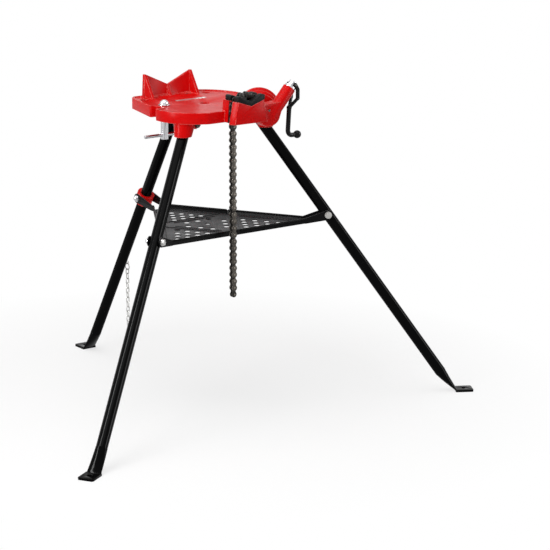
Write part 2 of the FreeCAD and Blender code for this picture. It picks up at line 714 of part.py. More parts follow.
def make_base():
    body = [make_platform()]
    body += at_each_leg(socket_body)
    body += make_rest()
    body.append(make_bender())
    brace = vec(BRACE_X, BRACE_Y, PLATFORM_BOTTOM - BRACE_BOSS_DROP)
    body.append(rod(brace, vec(BRACE_X, BRACE_Y, PLATE_UNDER + 1), BRACE_BOSS_DIAMETER))
    hub = rod(vec(0, CENTRE_HOLE_Y, PLATFORM_BOTTOM), vec(0, CENTRE_HOLE_Y, DECK), CENTRE_HOLE_DIAMETER + 14)
    body.append(hub)
    ribs = []
    for turn in (FRONT_TURN, 180 - FRONT_TURN, REAR_TURN):
        rib = box(10, FRONT_PIVOT_RADIUS - 30, -3, 3, PLATFORM_BOTTOM + 4, PLATE_UNDER + 1)
        ribs.append(turned(rib, turn))
    head, head_cuts = make_head()
    cuts = list(head_cuts)
    for tool in socket_hollow("front"):
        right = turned(tool, FRONT_TURN)
        cuts += [right, mirrored(right)]
    for tool in socket_hollow("rear"):
        cuts.append(turned(tool, REAR_TURN))
    through = vec(0, 0, 60)
    for x, y, diameter in (
        (0, CENTRE_HOLE_Y, CENTRE_HOLE_DIAMETER),
        (SIDE_HOLE_X, SIDE_HOLE_Y, SIDE_HOLE_DIAMETER),
        (-SIDE_HOLE_X, SIDE_HOLE_Y, SIDE_HOLE_DIAMETER),
        (INNER_HOLE_X, INNER_HOLE_Y, INNER_HOLE_DIAMETER),
        (-INNER_HOLE_X, INNER_HOLE_Y, INNER_HOLE_DIAMETER),
        (BRACE_X, BRACE_Y, BRACE_DIAMETER + 2 * RUNNING_FIT),
    ):
        centre = vec(x, y, PLATFORM_TOP - 30)
        cuts.append(rod(centre, centre + through, diameter))
    casting = body[0]
    for piece in body[1:] + ribs + head:
        casting = casting.fuse(piece)
    return cut_all(casting, cuts)


# ----------------------------------------------------------------------
# jaws
# ----------------------------------------------------------------------
def make_jaw(y_low, y_high):
    """Hardened vee jaw with cross teeth, lying in the head's vee."""
    rise = (HEAD_TOP - VEE_BOTTOM) / HEAD_TOP_HALF
    half = JAW_HALF_WIDTH
    outer_tip = VEE_BOTTOM + rise * half
    middle = HEAD_MIDDLE_X
    profile = [(middle, VEE_BOTTOM), (middle + half, outer_tip),
               (middle + half, JAW_TIP - 2), (middle + half - 3, JAW_TIP),
               (middle + half - 8, JAW_TIP), (middle, JAW_INNER_BOTTOM), (middle - half + 8, JAW_TIP),
               (middle - half + 3, JAW_TIP), (middle - half, JAW_TIP - 2), (middle - half, outer_tip)]
    jaw = prism_xz(profile, y_low, y_high)
    slope = math.degrees(math.atan2(JAW_TIP - JAW_INNER_BOTTOM, half - 8))
    notches = []
    count = int((half - 12) / JAW_TOOTH_PITCH)
    for index in range(1, count):
        along = index * JAW_TOOTH_PITCH
        x = middle + along * cos(slope)
        z = JAW_INNER_BOTTOM + along * sin(slope)
        half_pitch = JAW_TOOTH_PITCH / 2
        tooth = prism_xz([(x - half_pitch, z + 2), (x, z - JAW_TOOTH_DEPTH), (x + half_pitch, z + 2)],
                         y_low - 1, y_high + 1)
        notches.append(tooth)
        notches.append(tooth.mirror(vec(middle, 0, 0), AXIS_X))
    return cut_all(jaw, notches)


# ----------------------------------------------------------------------
# chain
# ----------------------------------------------------------------------
def chain_plate(start, end, y_low):
    """Figure-of-eight side plate between two pins, in the chain's plane."""
    face = slot_face(start, end, CHAIN_HALF, AXIS_Y)
    plate = face.extrude(AXIS_Y * CHAIN_PLATE)
    middle = (start + end) * 0.5
    across = (end - start).cross(AXIS_Y).normalize()
    hollows = []
    for side in (-1, 1):
        centre = middle + across * side * (CHAIN_WAIST / 2 + CHAIN_WAIST_RADIUS)
        hollows.append(rod(centre - AXIS_Y, centre + AXIS_Y * (CHAIN_PLATE + 1), 2 * CHAIN_WAIST_RADIUS))
    plate = cut_all(plate, hollows)
    plate.translate(AXIS_Y * (y_low - start.y))
    return plate


def chain_pin_axis(point, half_length):
    return point - AXIS_Y * half_length, point + AXIS_Y * half_length


CHAIN_INNER_HALF = CHAIN_INNER_GAP / 2 + CHAIN_PLATE
CHAIN_OUTER_HALF = CHAIN_INNER_HALF + CHAIN_PLATE_GAP + CHAIN_PLATE


def inner_link(start, end):
    plates = []
    for y_low in (CHAIN_INNER_GAP / 2, -CHAIN_INNER_HALF):
        plates.append(chain_plate(start, end, CHAIN_PLANE_Y + y_low))
    for point in (start, end):
        low, high = chain_pin_axis(point, CHAIN_INNER_GAP / 2 + 0.5)
        plates.append(rod(low, high, CHAIN_BUSH_DIAMETER))
    holes = []
    for point in (start, end):
        low, high = chain_pin_axis(point, CHAIN_OUTER_HALF)
        holes.append(rod(low, high, CHAIN_PIN_DIAMETER + 2 * RUNNING_FIT))
    return cut_all(fused(plates), holes)


def outer_link(start, end):
    plates = []
    for y_low in (CHAIN_INNER_HALF + CHAIN_PLATE_GAP, -CHAIN_OUTER_HALF):
        plates.append(chain_plate(start, end, CHAIN_PLANE_Y + y_low))
    for point in (start, end):
        low, high = chain_pin_axis(point, CHAIN_OUTER_HALF)
        plates.append(rod(low, high, CHAIN_PIN_DIAMETER))
    return fused(plates)


def chain_route():
    """Points close together along the chain's centre line, from the tail back to the nut."""
    points = [vec(CHAIN_CROWN_X - CHAIN_CROWN_RADIUS, CHAIN_PLANE_Y, TAIL_TOP_Z)]
    span = GUIDE - CHAIN_CROWN
    tilt = math.degrees(math.atan2(span.z, span.x))
    spread = CHAIN_CROWN_RADIUS + GUIDE_PITCH_RADIUS
    leave = tilt + math.degrees(math.acos(spread / span.Length))
    steps = 200
    for index in range(steps + 1):
        angle = 180.0 + (leave - 180.0) * index / steps
        points.append(CHAIN_CROWN + vec(cos(angle), 0, sin(angle)) * CHAIN_CROWN_RADIUS)
    final = TUBE_ANGLE + 270.0
    for index in range(steps + 1):
        angle = leave + 180.0 + (final - leave - 180.0) * index / steps
        points.append(GUIDE + vec(cos(angle), 0, sin(angle)) * GUIDE_PITCH_RADIUS)
    points.append(points[-1] + TUBE_AXIS * TUBE_LENGTH)
    return points


def step_along(points, start, pitch):
    """Next point of the route that lies one pitch from the start, and the rest of the route."""
    for index in range(len(points) - 1):
        a = points[index]
        b = points[index + 1]
        if b.distanceToPoint(start) < pitch:
            continue
        low = 0.0
        high = 1.0
        for _ in range(40):
            middle = (low + high) / 2
            if (a + (b - a) * middle).distanceToPoint(start) < pitch:
                low = middle
            else:
                high = middle
        here = a + (b - a) * high
        return here, [here] + points[index + 1:]
    return None, []


def chain_pins():
    """Pins over the crown and round the guide roller, from the tail back to the draw nut."""
    route = chain_route()
    here = route[0]
    pins = [here]
    nut_end = on_tube(-DRAW_NUT_PLACE - DRAW_NUT_LENGTH - CHAIN_PIN_DIAMETER)
    while here is not None and (here - nut_end).dot(TUBE_AXIS) < 0:
        pins.append(here)
        here, route = step_along(route, here, CHAIN_PITCH)
    pins = pins[1:]
    if len(pins) % 2:
        pins.pop()
    return pins


def tail_pins():
    start = chain_route()[0]
    return [start - AXIS_Z * (CHAIN_PITCH * index) for index in range(sum(TAIL_SEGMENT_LINKS) + 1)]


# ----------------------------------------------------------------------
# vise screw and crank
# ----------------------------------------------------------------------
def make_bush():
    """Thrust bush at the tube's end."""
    outside = rod(on_tube(0), on_tube(BUSH_LENGTH), BUSH_DIAMETER)
    inside = rod(on_tube(-BUSH_INSIDE), on_tube(0), TUBE_BORE)
    bore = rod(on_tube(-BUSH_INSIDE), on_tube(BUSH_LENGTH), SCREW_DIAMETER + 2 * RUNNING_FIT)
    return fused([outside, inside]).cut(bore)


HEAD_START = BUSH_LENGTH + SEAT_GAP
CRANK_PIN = on_tube(CRANK_PIN_PLACE)


def make_vise_screw():
    inner_end = on_tube(-DRAW_NUT_PLACE - DRAW_NUT_LENGTH + SCREW_LEAD)
    shaft = rod(inner_end, on_tube(HEAD_START + 1), SCREW_DIAMETER)
    head = rod(on_tube(HEAD_START), on_tube(HEAD_START + SCREW_HEAD_LENGTH), SCREW_HEAD_DIAMETER)
    head = head.makeChamfer(1.2, [head.Edges[0], head.Edges[2]])
    low, high = chain_pin_axis(CRANK_PIN, SCREW_HEAD_DIAMETER)
    return fused([shaft, head]).cut(rod(low, high, CRANK_PIN_DIAMETER))


def make_draw_nut(last_pin):
    """Round nut in the tube with a tongue whose slot takes the chain's last pin."""
    low = -DRAW_NUT_PLACE - DRAW_NUT_LENGTH
    nut = rod(on_tube(low), on_tube(-DRAW_NUT_PLACE), TUBE_BORE - 2 * SIDE_GAP)
    nut = nut.cut(rod(on_tube(low + SCREW_LEAD / 2), on_tube(0), SCREW_DIAMETER + 2 * RUNNING_FIT))
    half = (CHAIN_OUTER_HALF - CHAIN_PLATE) - RUNNING_FIT
    start = last_pin - AXIS_Y * half
    end = on_tube(low + 1) - AXIS_Y * half
    tongue = slot_face(start, end, DRAW_TONGUE_HEIGHT / 2, AXIS_Y).extrude(AXIS_Y * 2 * half)
    tongue = tongue.common(rod(on_tube(low - 40), on_tube(low), TUBE_BORE - 2 * SIDE_GAP))
    travel = TUBE_AXIS * (SCREW_LEAD * SCREW_TURN / 360)
    play = CHAIN_PIN_DIAMETER / 2 + 2 * RUNNING_FIT
    slot = slot_face(start - travel, start, play, AXIS_Y).extrude(AXIS_Y * 2 * half)
    return fused([nut, tongue]).cut(slot)


def make_crank():
    """Forked crank that hangs from its pin, and the ball on its end."""
    arm_inside = SCREW_HEAD_DIAMETER / 2 + SIDE_GAP
    arm_middle = arm_inside + CRANK_ARM_THICKNESS / 2
    fork = CRANK_PIN + vec(CRANK_FORK_X, 0, -CRANK_FORK_DROP)
    bow = vec(CRANK_BOW_X, 0, -CRANK_BOW_DROP)
    prong = vec(CRANK_BOW_X, 0, -CRANK_PRONG_DROP)
    parts = []
    for side in (-1, 1):
        inner_face = AXIS_Y * (side * arm_middle - CRANK_ARM_THICKNESS / 2)
        corners = [CRANK_PIN + inner_face, CRANK_PIN + bow + inner_face, CRANK_PIN + prong + inner_face]
        for start, end in zip(corners, corners[1:]):
            face = slot_face(start, end, CRANK_ARM_WIDTH / 2, AXIS_Y)
            parts.append(face.extrude(AXIS_Y * CRANK_ARM_THICKNESS))
        joint = CRANK_PIN + prong + AXIS_Y * (side * arm_middle)
        parts.append(rod(joint, fork, CRANK_ARM_WIDTH * 0.9))
    parts.append(Part.makeSphere(CRANK_ROD_DIAMETER / 2 + 0.8, fork))
    low = CRANK_PIN + vec(CRANK_FORK_X + CRANK_ROD_LEAN, 0, -CRANK_LENGTH + CRANK_BEND_RADIUS)
    parts.append(rod(fork, low, CRANK_ROD_DIAMETER))
    corner = low + AXIS_X * CRANK_BEND_RADIUS
    half_way = corner + vec(-cos(45), 0, -sin(45)) * CRANK_BEND_RADIUS
    end = corner - AXIS_Z * CRANK_BEND_RADIUS
    path = Part.Wire(Part.Arc(low, half_way, end).toShape())
    section = Part.Wire(Part.makeCircle(CRANK_ROD_DIAMETER / 2, low, AXIS_Z))
    parts.append(path.makePipeShell([section], True, True))
    parts.append(Part.makeSphere(CRANK_ROD_DIAMETER / 2, low))
    parts.append(rod(end, end + AXIS_X * CRANK_HANDLE, CRANK_ROD_DIAMETER))
    end = end + AXIS_X * CRANK_HANDLE
    crank = fused(parts)
    pin_low, pin_high = chain_pin_axis(CRANK_PIN, arm_inside + 2 * CRANK_ARM_THICKNESS)
    crank = crank.cut(rod(pin_low, pin_high, CRANK_PIN_DIAMETER + 2 * RUNNING_FIT))
    ball = Part.makeSphere(CRANK_BALL_DIAMETER / 2, end + AXIS_X * (CRANK_BALL_DIAMETER / 2 - 1))
    return crank.cut(ball), ball


def make_crank_pin():
    half = SCREW_HEAD_DIAMETER / 2 + SIDE_GAP + CRANK_ARM_THICKNESS + 1
    low, high = chain_pin_axis(CRANK_PIN, half)
    return rod(low, high, CRANK_PIN_DIAMETER)


# ----------------------------------------------------------------------
# ceiling brace
# ----------------------------------------------------------------------
def make_brace_cap():
    base = vec(BRACE_X, BRACE_Y, DECK)
    flange = Part.makeCylinder(BRACE_CAP_DIAMETER / 2, BRACE_CAP_FLANGE, base)
    dome_radius = BRACE_CAP_DIAMETER / 2 - 3
    dome = Part.makeSphere(dome_radius, base + AXIS_Z * (BRACE_CAP_HEIGHT - dome_radius))
    stem = Part.makeCylinder(dome_radius, BRACE_CAP_HEIGHT - dome_radius, base)
    above = box(BRACE_X - 20, BRACE_X + 20, BRACE_Y - 20, BRACE_Y + 20, DECK, DECK + 30)
    cap = fused([flange, dome, stem]).common(above)
    spigot = Part.makeCylinder(BRACE_SPIGOT_DIAMETER / 2 + RUNNING_FIT, BRACE_SPIGOT_HEIGHT + SEAT_GAP, base)
    return cap.cut(spigot)


def make_brace_screw():
    foot = vec(BRACE_X, BRACE_Y, BRACE_BOTTOM)
    body = rod(foot, vec(BRACE_X, BRACE_Y, DECK - SEAT_GAP), BRACE_DIAMETER)
    spigot = rod(foot, vec(BRACE_X, BRACE_Y, DECK + BRACE_SPIGOT_HEIGHT), BRACE_SPIGOT_DIAMETER)
    bar = vec(BRACE_X, BRACE_Y, BRACE_BAR_Z)
    return fused([body, spigot]).cut(rod(bar - AXIS_X * 20, bar + AXIS_X * 20, BRACE_BAR_DIAMETER))


def make_brace_bar():
    bar = vec(BRACE_X, BRACE_Y, BRACE_BAR_Z)
    half = AXIS_X * (BRACE_BAR_LENGTH / 2)
    return rod(bar - half, bar + half, BRACE_BAR_DIAMETER)


# ----------------------------------------------------------------------
# tray
# ----------------------------------------------------------------------
HINGE_Z = TRAY_FLOOR - KNUCKLE_DIAMETER / 2 - SEAT_GAP
EAR_INSIDE = {"front": TUBE_HALF + SIDE_GAP, "rear": COLLAR_HALF_WIDTH + SIDE_GAP}
LEAF_CUTBACK = {"front": FRONT_LEAF_CUTBACK, "rear": REAR_LEAF_CUTBACK}
LEG_TURNS = (180 - FRONT_TURN, FRONT_TURN, REAR_TURN)
TRAY_TOP = TRAY_FLOOR + TRAY_SHEET
RIM_TOP = TRAY_FLOOR + TRAY_RIM
TRAY_CORNERS = [
    vec(-TRAY_CORNER_FRONT * cos(FRONT_TURN), TRAY_CORNER_FRONT * sin(FRONT_TURN), 0),
    vec(TRAY_CORNER_FRONT * cos(FRONT_TURN), TRAY_CORNER_FRONT * sin(FRONT_TURN), 0),
    vec(0, TRAY_CORNER_REAR, 0),
]


def beyond_fold(gap, low, high):
    """Everything outside one fold line, for a leg that points along +X."""
    start = TRAY_HINGE_RADIUS + gap
    return box(start, FAR, -FAR, FAR, low, high)


def tray_dish():
    """The whole tray as if it had no folds: a triangle with a raised rim."""
    edge = Part.makePolygon(TRAY_CORNERS + [TRAY_CORNERS[0]])
    inner = edge.makeOffset2D(-TRAY_SHEET, 2)
    return slab(edge, TRAY_FLOOR, RIM_TOP).cut(slab(inner, TRAY_TOP, RIM_TOP + 1))


def drain_row(x, count, pitch):
    """Drills for one row of drain holes across the tray's floor."""
    start = -(count - 1) / 2 * pitch
    bases = [vec(x, start + index * pitch, TRAY_FLOOR - 1) for index in range(count)]
    return [Part.makeCylinder(DRAIN_HOLE_DIAMETER / 2, TRAY_SHEET + 2, base) for base in bases]


def hinge_knuckles(on_leaf):
    """Knuckles under one fold line, each with a short tongue under its own sheet."""
    parts = []
    x = TRAY_HINGE_RADIUS
    for side in (-1, 1):
        for step in ((-1, 1) if on_leaf else (0,)):
            low = side * KNUCKLE_OFFSET + step * (KNUCKLE_LENGTH + SIDE_GAP) - KNUCKLE_LENGTH / 2
            barrel = Part.makeCylinder(KNUCKLE_DIAMETER / 2, KNUCKLE_LENGTH, vec(x, low, HINGE_Z), AXIS_Y)
            near = x if on_leaf else x - HINGE_TONGUE
            tongue = box(near, near + HINGE_TONGUE, low, low + KNUCKLE_LENGTH, TRAY_FLOOR - 2.4, TRAY_FLOOR)
            parts.append(fused([barrel, tongue]))
    return parts


def along_hinges(length, diameter):
    """Two rods on one fold line's hinge axis, as pins or as the holes for them."""
    rods = []
    for side in (-1, 1):
        start = vec(TRAY_HINGE_RADIUS, side * KNUCKLE_OFFSET - length / 2, HINGE_Z)
        rods.append(rod(start, start + AXIS_Y * length, diameter))
    return rods


def hinge_holes():
    return along_hinges(4 * KNUCKLE_LENGTH, HINGE_PIN_DIAMETER + 2 * RUNNING_FIT)


def hinge_pins():
    return along_hinges(3 * KNUCKLE_LENGTH + 2 * SIDE_GAP, HINGE_PIN_DIAMETER)


def make_leaf(kind):
    """Corner leaf of the tray: floor, two raised rims and two ears for the leg's bolt."""
    turn = FRONT_TURN if kind == "front" else REAR_TURN
    bolt = leg_point_at(kind, TRAY_BOLT_HEIGHT)
    web_end = bolt.x - LEAF_CUTBACK[kind]
    dish = turned(tray_dish(), -turn).common(beyond_fold(TRAY_HINGE_GAP, TRAY_FLOOR, RIM_TOP))
    if kind == "front":
        own_half = box(TRAY_HINGE_GAP, FAR, -FAR, FAR, TRAY_FLOOR, RIM_TOP)
        dish = dish.common(turned(own_half, -turn))
    inside = EAR_INSIDE[kind]
    outside = inside + EAR_THICKNESS
    leg_room = box(web_end, FAR, -inside, inside, 0, FAR)
    ear_room = box(web_end, FAR, -outside, outside, 0, FAR)
    tip = box(web_end, FAR, -FAR, FAR, 0, FAR).cut(ear_room)
    corner = TRAY_CORNER_FRONT if kind == "front" else TRAY_CORNER_REAR
    joint_x = min(corner - outside / tan(30) - 2, web_end - 8)
    ear = [(joint_x, TRAY_FLOOR), (web_end, TRAY_FLOOR), (bolt.x, bolt.z - EAR_END_RADIUS),
           (bolt.x, bolt.z + EAR_END_RADIUS), (joint_x, RIM_TOP)]
    ears = []
    for y_low in (inside, -outside):
        plate = prism_xz(ear, y_low, y_low + EAR_THICKNESS)
        end = Part.makeCylinder(EAR_END_RADIUS, EAR_THICKNESS, vec(bolt.x, y_low, bolt.z), AXIS_Y)
        hole = rod(bolt - AXIS_Y * 2 * outside, bolt + AXIS_Y * 2 * outside, TRAY_BOLT_DIAMETER)
        ears.append(fused([plate, end]).cut(hole))
    leaf = fused([dish.cut(leg_room).cut(tip)] + ears + hinge_knuckles(True))
    cuts = hinge_holes()
    span = web_end - TRAY_HINGE_RADIUS
    for share, count in LEAF_DRAIN_ROWS:
        cuts += drain_row(TRAY_HINGE_RADIUS + share * span, count, DRAIN_HOLE_PITCH)
    return cut_all(leaf, cuts)


def make_tray_centre():
    """Panel between the three fold lines."""
    panel = tray_dish()
    beyond = beyond_fold(-TRAY_HINGE_GAP, 0, FAR)
    parts = [panel.cut(Part.makeCompound([turned(beyond, turn) for turn in LEG_TURNS]))]
    cuts = [Part.makeCylinder(TRAY_CENTRE_HOLE / 2, TRAY_SHEET + 2, vec(0, 0, TRAY_FLOOR - 1))]
    for turn in LEG_TURNS:
        parts += [turned(knuckle, turn) for knuckle in hinge_knuckles(False)]
        cuts += [turned(hole, turn) for hole in hinge_holes()]
        row = drain_row(TRAY_HINGE_RADIUS - CENTRE_DRAIN_SET, 3, CENTRE_DRAIN_PITCH)
        cuts += [turned(hole, turn) for hole in row]
    return cut_all(fused(parts), cuts)


def bolt_end(kind, side):
    """Centre and direction of one end of a tray bolt, on the ear's outer face."""
    bolt = leg_point_at(kind, TRAY_BOLT_HEIGHT)
    outward = AXIS_Y * side
    return bolt + outward * (EAR_INSIDE[kind] + EAR_THICKNESS), outward


def make_tray_bolt(kind):
    """Flanged hex head with the stub that fills the ear's hole."""
    face, outward = bolt_end(kind, -1)
    flange = rod(face, face + outward * BOLT_FLANGE_HEIGHT, BOLT_FLANGE_DIAMETER)
    head = hexagon(face, outward, BOLT_HEX_WIDTH, BOLT_FLANGE_HEIGHT + BOLT_HEX_HEIGHT)
    return fused([flange, head, rod(face - outward * EAR_THICKNESS, face, TRAY_BOLT_DIAMETER)])


def make_cap_nut(kind):
    """Flanged cap nut with the stub that fills the ear's hole."""
    face, outward = bolt_end(kind, 1)
    flange = rod(face, face + outward * BOLT_FLANGE_HEIGHT, BOLT_FLANGE_DIAMETER)
    crown = face + outward * (CAP_NUT_HEIGHT - CAP_NUT_RADIUS)
    barrel = rod(face, crown, 2 * CAP_NUT_RADIUS)
    dome = Part.makeSphere(CAP_NUT_RADIUS, crown).common(rod(face, face + outward * 20, 40))
    return fused([flange, barrel, dome, rod(face - outward * EAR_THICKNESS, face, TRAY_BOLT_DIAMETER)])


def make_tray_pin(kind):
    """Pivot pin in the leg, level with what the ears lie against."""
    bolt = leg_point_at(kind, TRAY_BOLT_HEIGHT)
    half = EAR_INSIDE[kind] - SIDE_GAP
    return rod(bolt - AXIS_Y * half, bolt + AXIS_Y * half, TRAY_BOLT_DIAMETER)


def make_collar():
    """Cast ring clamped round the rear leg, with two flat bolt bosses."""
    bolt = leg_point_at("rear", TRAY_BOLT_HEIGHT)
    half = vec(sin(REAR_LEAN), 0, -cos(REAR_LEAN)) * (COLLAR_LENGTH / 2)
    ring = rod(bolt - half, bolt + half, COLLAR_DIAMETER)
    across = AXIS_Y * COLLAR_HALF_WIDTH
    boss = rod(bolt - across, bolt + across, COLLAR_BOSS_DIAMETER)
    flats = box(0, FAR, -COLLAR_HALF_WIDTH, COLLAR_HALF_WIDTH, 0, FAR)
    collar = fused([ring, boss]).common(flats)
    leg_hole = rod(bolt - half * 3, bolt + half * 3, LEG_TUBE_OD)
    bolt_hole = rod(bolt - across * 2, bolt + across * 2, TRAY_BOLT_DIAMETER)
    return cut_all(collar, [leg_hole, bolt_hole])


# ----------------------------------------------------------------------
# transport chain
# ----------------------------------------------------------------------
def wire_loop(centre, axis, long_way, width, length, wire):
    """Closed wire loop with straight sides, as a chain link or, if it is as long as wide, a ring."""
    radius = (width - wire) / 2
    straight = (length - width) / 2
    if straight < 0.01:
        return Part.makeTorus(radius, wire / 2, centre, axis)
    across = axis.cross(long_way) * radius
    ends = (centre + long_way * straight, centre - long_way * straight)
    sides = [rod(ends[0] + across, ends[1] + across, wire), rod(ends[0] - across, ends[1] - across, wire)]
    for end, out in zip(ends, (long_way, long_way * -1)):
        turn = Part.makeTorus(radius, wire / 2, end, axis)
        middle = end + out * width
        half_space = rod(end, middle, 4 * width)
        sides.append(turn.common(half_space))
    return fused(sides)


EYE = leg_point_at("rear", EYE_HEIGHT) - AXIS_Y * (TUBE_HALF + EYE_STANDOFF)


def make_eye():
    """Small wire eye on the side of the rear leg."""
    loop = Part.makeTorus((EYE_DIAMETER - EYE_WIRE) / 2, EYE_WIRE / 2, EYE, AXIS_X)
    stem = rod(EYE + AXIS_Y * (EYE_DIAMETER - EYE_WIRE) / 2, EYE + AXIS_Y * (EYE_STANDOFF + 2), EYE_WIRE)
    leg_tube = rod(leg_point("rear", 0), leg_point_at("rear", 0), LEG_TUBE_OD)
    return fused([loop, stem]).cut(leg_tube)


def make_transport_chain():
    """Ring in the eye and the wire links that hang below it."""
    ring_drop = (RING_DIAMETER + EYE_DIAMETER) / 2 - EYE_WIRE - RING_WIRE - SEAT_GAP
    ring_centre = EYE - AXIS_Z * ring_drop
    ring = Part.makeTorus((RING_DIAMETER - RING_WIRE) / 2, RING_WIRE / 2, ring_centre, AXIS_Y)
    links = []
    length = LINK_PITCH + 2 * LINK_WIRE
    top = ring_centre.z - (RING_DIAMETER - RING_WIRE) / 2 + RING_WIRE / 2 + LINK_WIRE + SEAT_GAP
    for index in range(LINK_COUNT):
        centre = vec(EYE.x, EYE.y, top - length / 2 - index * (LINK_PITCH - SEAT_GAP / 2))
        axis = AXIS_X if index % 2 == 0 else AXIS_Y
        links.append(wire_loop(centre, axis, AXIS_Z, LINK_WIDTH, length, LINK_WIRE))
    return ring, links


# ----------------------------------------------------------------------
# build
# ----------------------------------------------------------------------
front_corner = pad_end_radius("front") - FOOT_PAD_CHAMFER
front_reach = front_corner * sin(FRONT_LEG_SWEEP) + FOOT_PAD_WIDTH / 2 * cos(FRONT_LEG_SWEEP)
HUB_Y = (front_reach - pad_end_radius("rear")) / 2
nodes = {}


def add_legs_pieces(names, maker):
    for name, shape in zip(names, at_each_leg(maker)):
        nodes[name] = shape


nodes["base_casting"] = make_base()
nodes["front_jaw"] = make_jaw(FRONT_FACE_Y, SLOT_FRONT_Y)
nodes["rear_jaw"] = make_jaw(SLOT_REAR_Y, SLOT_REAR_Y + REAR_JAW_THICKNESS)

add_legs_pieces(("front_left_leg", "front_right_leg", "rear_leg"), make_leg)
nodes["leg_pivot_bolts"] = Part.makeCompound(at_each_leg(make_pivot_bolt))
nodes["leg_pivot_nuts"] = Part.makeCompound(at_each_leg(make_pivot_nut))

add_legs_pieces(("tray_left_leaf", "tray_right_leaf", "tray_rear_leaf"), make_leaf)
add_legs_pieces(("left_tray_bolt", "right_tray_bolt", "rear_tray_bolt"), make_tray_bolt)
add_legs_pieces(("left_cap_nut", "right_cap_nut", "rear_cap_nut"), make_cap_nut)
add_legs_pieces(("left_tray_pin", "right_tray_pin", "rear_tray_pin"), make_tray_pin)
nodes["tray_centre_panel"] = make_tray_centre()
pins_at_folds = [turned(pin, turn) for turn in LEG_TURNS for pin in hinge_pins()]
nodes["tray_hinge_pins"] = Part.makeCompound(pins_at_folds)
nodes["rear_leg_collar"] = turned(make_collar(), REAR_TURN)

nodes["brace_cap"] = make_brace_cap()
nodes["brace_screw"] = make_brace_screw()
nodes["brace_handle_bar"] = make_brace_bar()

pins = chain_pins()
links = {0: [], 1: []}
for index in range(len(pins) - 1):
    maker = inner_link if index % 2 else outer_link
    links[index % 2].append(maker(pins[index], pins[index + 1]))
nodes["chain_outer_links"] = Part.makeCompound(links[0])
nodes["chain_inner_links"] = Part.makeCompound(links[1])
tail = tail_pins()
first = 0
for name, count in zip(("upper", "middle", "lower"), TAIL_SEGMENT_LINKS):
    links = {0: [], 1: []}
    for index in range(first, first + count):
        maker = outer_link if index % 2 else inner_link
        links[index % 2].append(maker(tail[index + 1], tail[index]))
    nodes["chain_" + name + "_tail_inner_links"] = Part.makeCompound(links[0])
    nodes["chain_" + name + "_tail_outer_links"] = Part.makeCompound(links[1])
    first += count

half_pin = ELBOW_WIDTH / 2
nodes["chain_guide_pin"] = rod(GUIDE - AXIS_Y * (half_pin + 1), GUIDE + AXIS_Y * half_pin, GUIDE_PIN_DIAMETER)
half_roller = CHAIN_SLOT / 2 - SIDE_GAP
roller = rod(GUIDE - AXIS_Y * half_roller, GUIDE + AXIS_Y * half_roller, 2 * GUIDE_ROLLER_RADIUS)
roller_bore = rod(GUIDE - AXIS_Y * half_pin, GUIDE + AXIS_Y * half_pin, GUIDE_PIN_DIAMETER)
nodes["chain_guide_roller"] = roller.cut(roller_bore)
nodes["tube_bush"] = make_bush()
nodes["vise_screw"] = make_vise_screw()
nodes["draw_nut"] = make_draw_nut(pins[-1])
crank_arm, crank_ball = make_crank()
nodes["crank_arm"] = crank_arm
nodes["crank_ball"] = crank_ball
nodes["crank_pin"] = make_crank_pin()

nodes["transport_eye"] = turned(make_eye(), REAR_TURN)
ring, wire_links = make_transport_chain()
nodes["transport_ring"] = turned(ring, REAR_TURN)
nodes["transport_chain_links"] = turned(Part.makeCompound(wire_links), REAR_TURN)

os.makedirs("parts", exist_ok=True)
for name, shape in nodes.items():
    placed = shape.copy()
    placed.translate(vec(0, HUB_Y, 0))
    placed.exportStep("parts/" + name + ".step")
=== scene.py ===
"""A folding pipe stand: red cast head with a chain vise, three tube legs and a folding tray."""
import json
import math

import bmesh
import bpy
from mathutils import Matrix, Vector


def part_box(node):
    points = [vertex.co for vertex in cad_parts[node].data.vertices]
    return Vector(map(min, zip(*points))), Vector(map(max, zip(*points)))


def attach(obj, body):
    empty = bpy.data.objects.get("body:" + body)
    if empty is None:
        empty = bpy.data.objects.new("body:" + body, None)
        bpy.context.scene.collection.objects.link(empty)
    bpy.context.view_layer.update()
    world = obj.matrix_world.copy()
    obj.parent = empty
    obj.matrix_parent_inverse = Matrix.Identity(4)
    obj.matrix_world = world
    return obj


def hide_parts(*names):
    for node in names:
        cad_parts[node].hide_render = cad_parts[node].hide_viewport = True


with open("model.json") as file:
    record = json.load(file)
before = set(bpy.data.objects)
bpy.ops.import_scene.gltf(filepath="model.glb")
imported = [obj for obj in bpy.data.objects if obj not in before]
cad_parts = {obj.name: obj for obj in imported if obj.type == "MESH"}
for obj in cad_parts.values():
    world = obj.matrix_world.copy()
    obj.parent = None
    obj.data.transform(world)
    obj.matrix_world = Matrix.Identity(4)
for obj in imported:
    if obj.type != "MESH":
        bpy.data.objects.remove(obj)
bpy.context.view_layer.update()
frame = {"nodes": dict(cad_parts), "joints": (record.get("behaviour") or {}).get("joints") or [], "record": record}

# ----------------------------------------------------------------------
# places on the stand, in metres
# ----------------------------------------------------------------------
JOINT_PLACE = {joint["child"]: Vector(joint["pos_m"]) for joint in frame["joints"] if "pos_m" in joint}
FOLD_RADIUS = 0.0645  # from the hub, which is the tray's middle, to each fold
HUB_Y = JOINT_PLACE["tray_rear_leaf_body"].y - FOLD_RADIUS
DECK_Z = 0.728  # the platform inside its raised rim
CHAIN_PITCH = 0.01595
TAIL_PINS = {"chain_upper_tail": 9, "chain_middle_tail": 8, "chain_lower_tail": 9}  # pins in each group
RIM_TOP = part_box("tray_centre_panel")[1].z
TRAY_TOP = RIM_TOP - 0.0094
LEG_TURNS = {"left": 210.5, "right": -30.5, "rear": 90.0}
TIP_REACH = {"left": 0.258, "right": 0.258, "rear": 0.239}  # from the hub to the tray's sharp corners
RIM_ENDS = {"left": 0.2352, "right": 0.2352, "rear": 0.2088}  # from the hub to where the ears begin
RIM_RADIUS = 0.0026
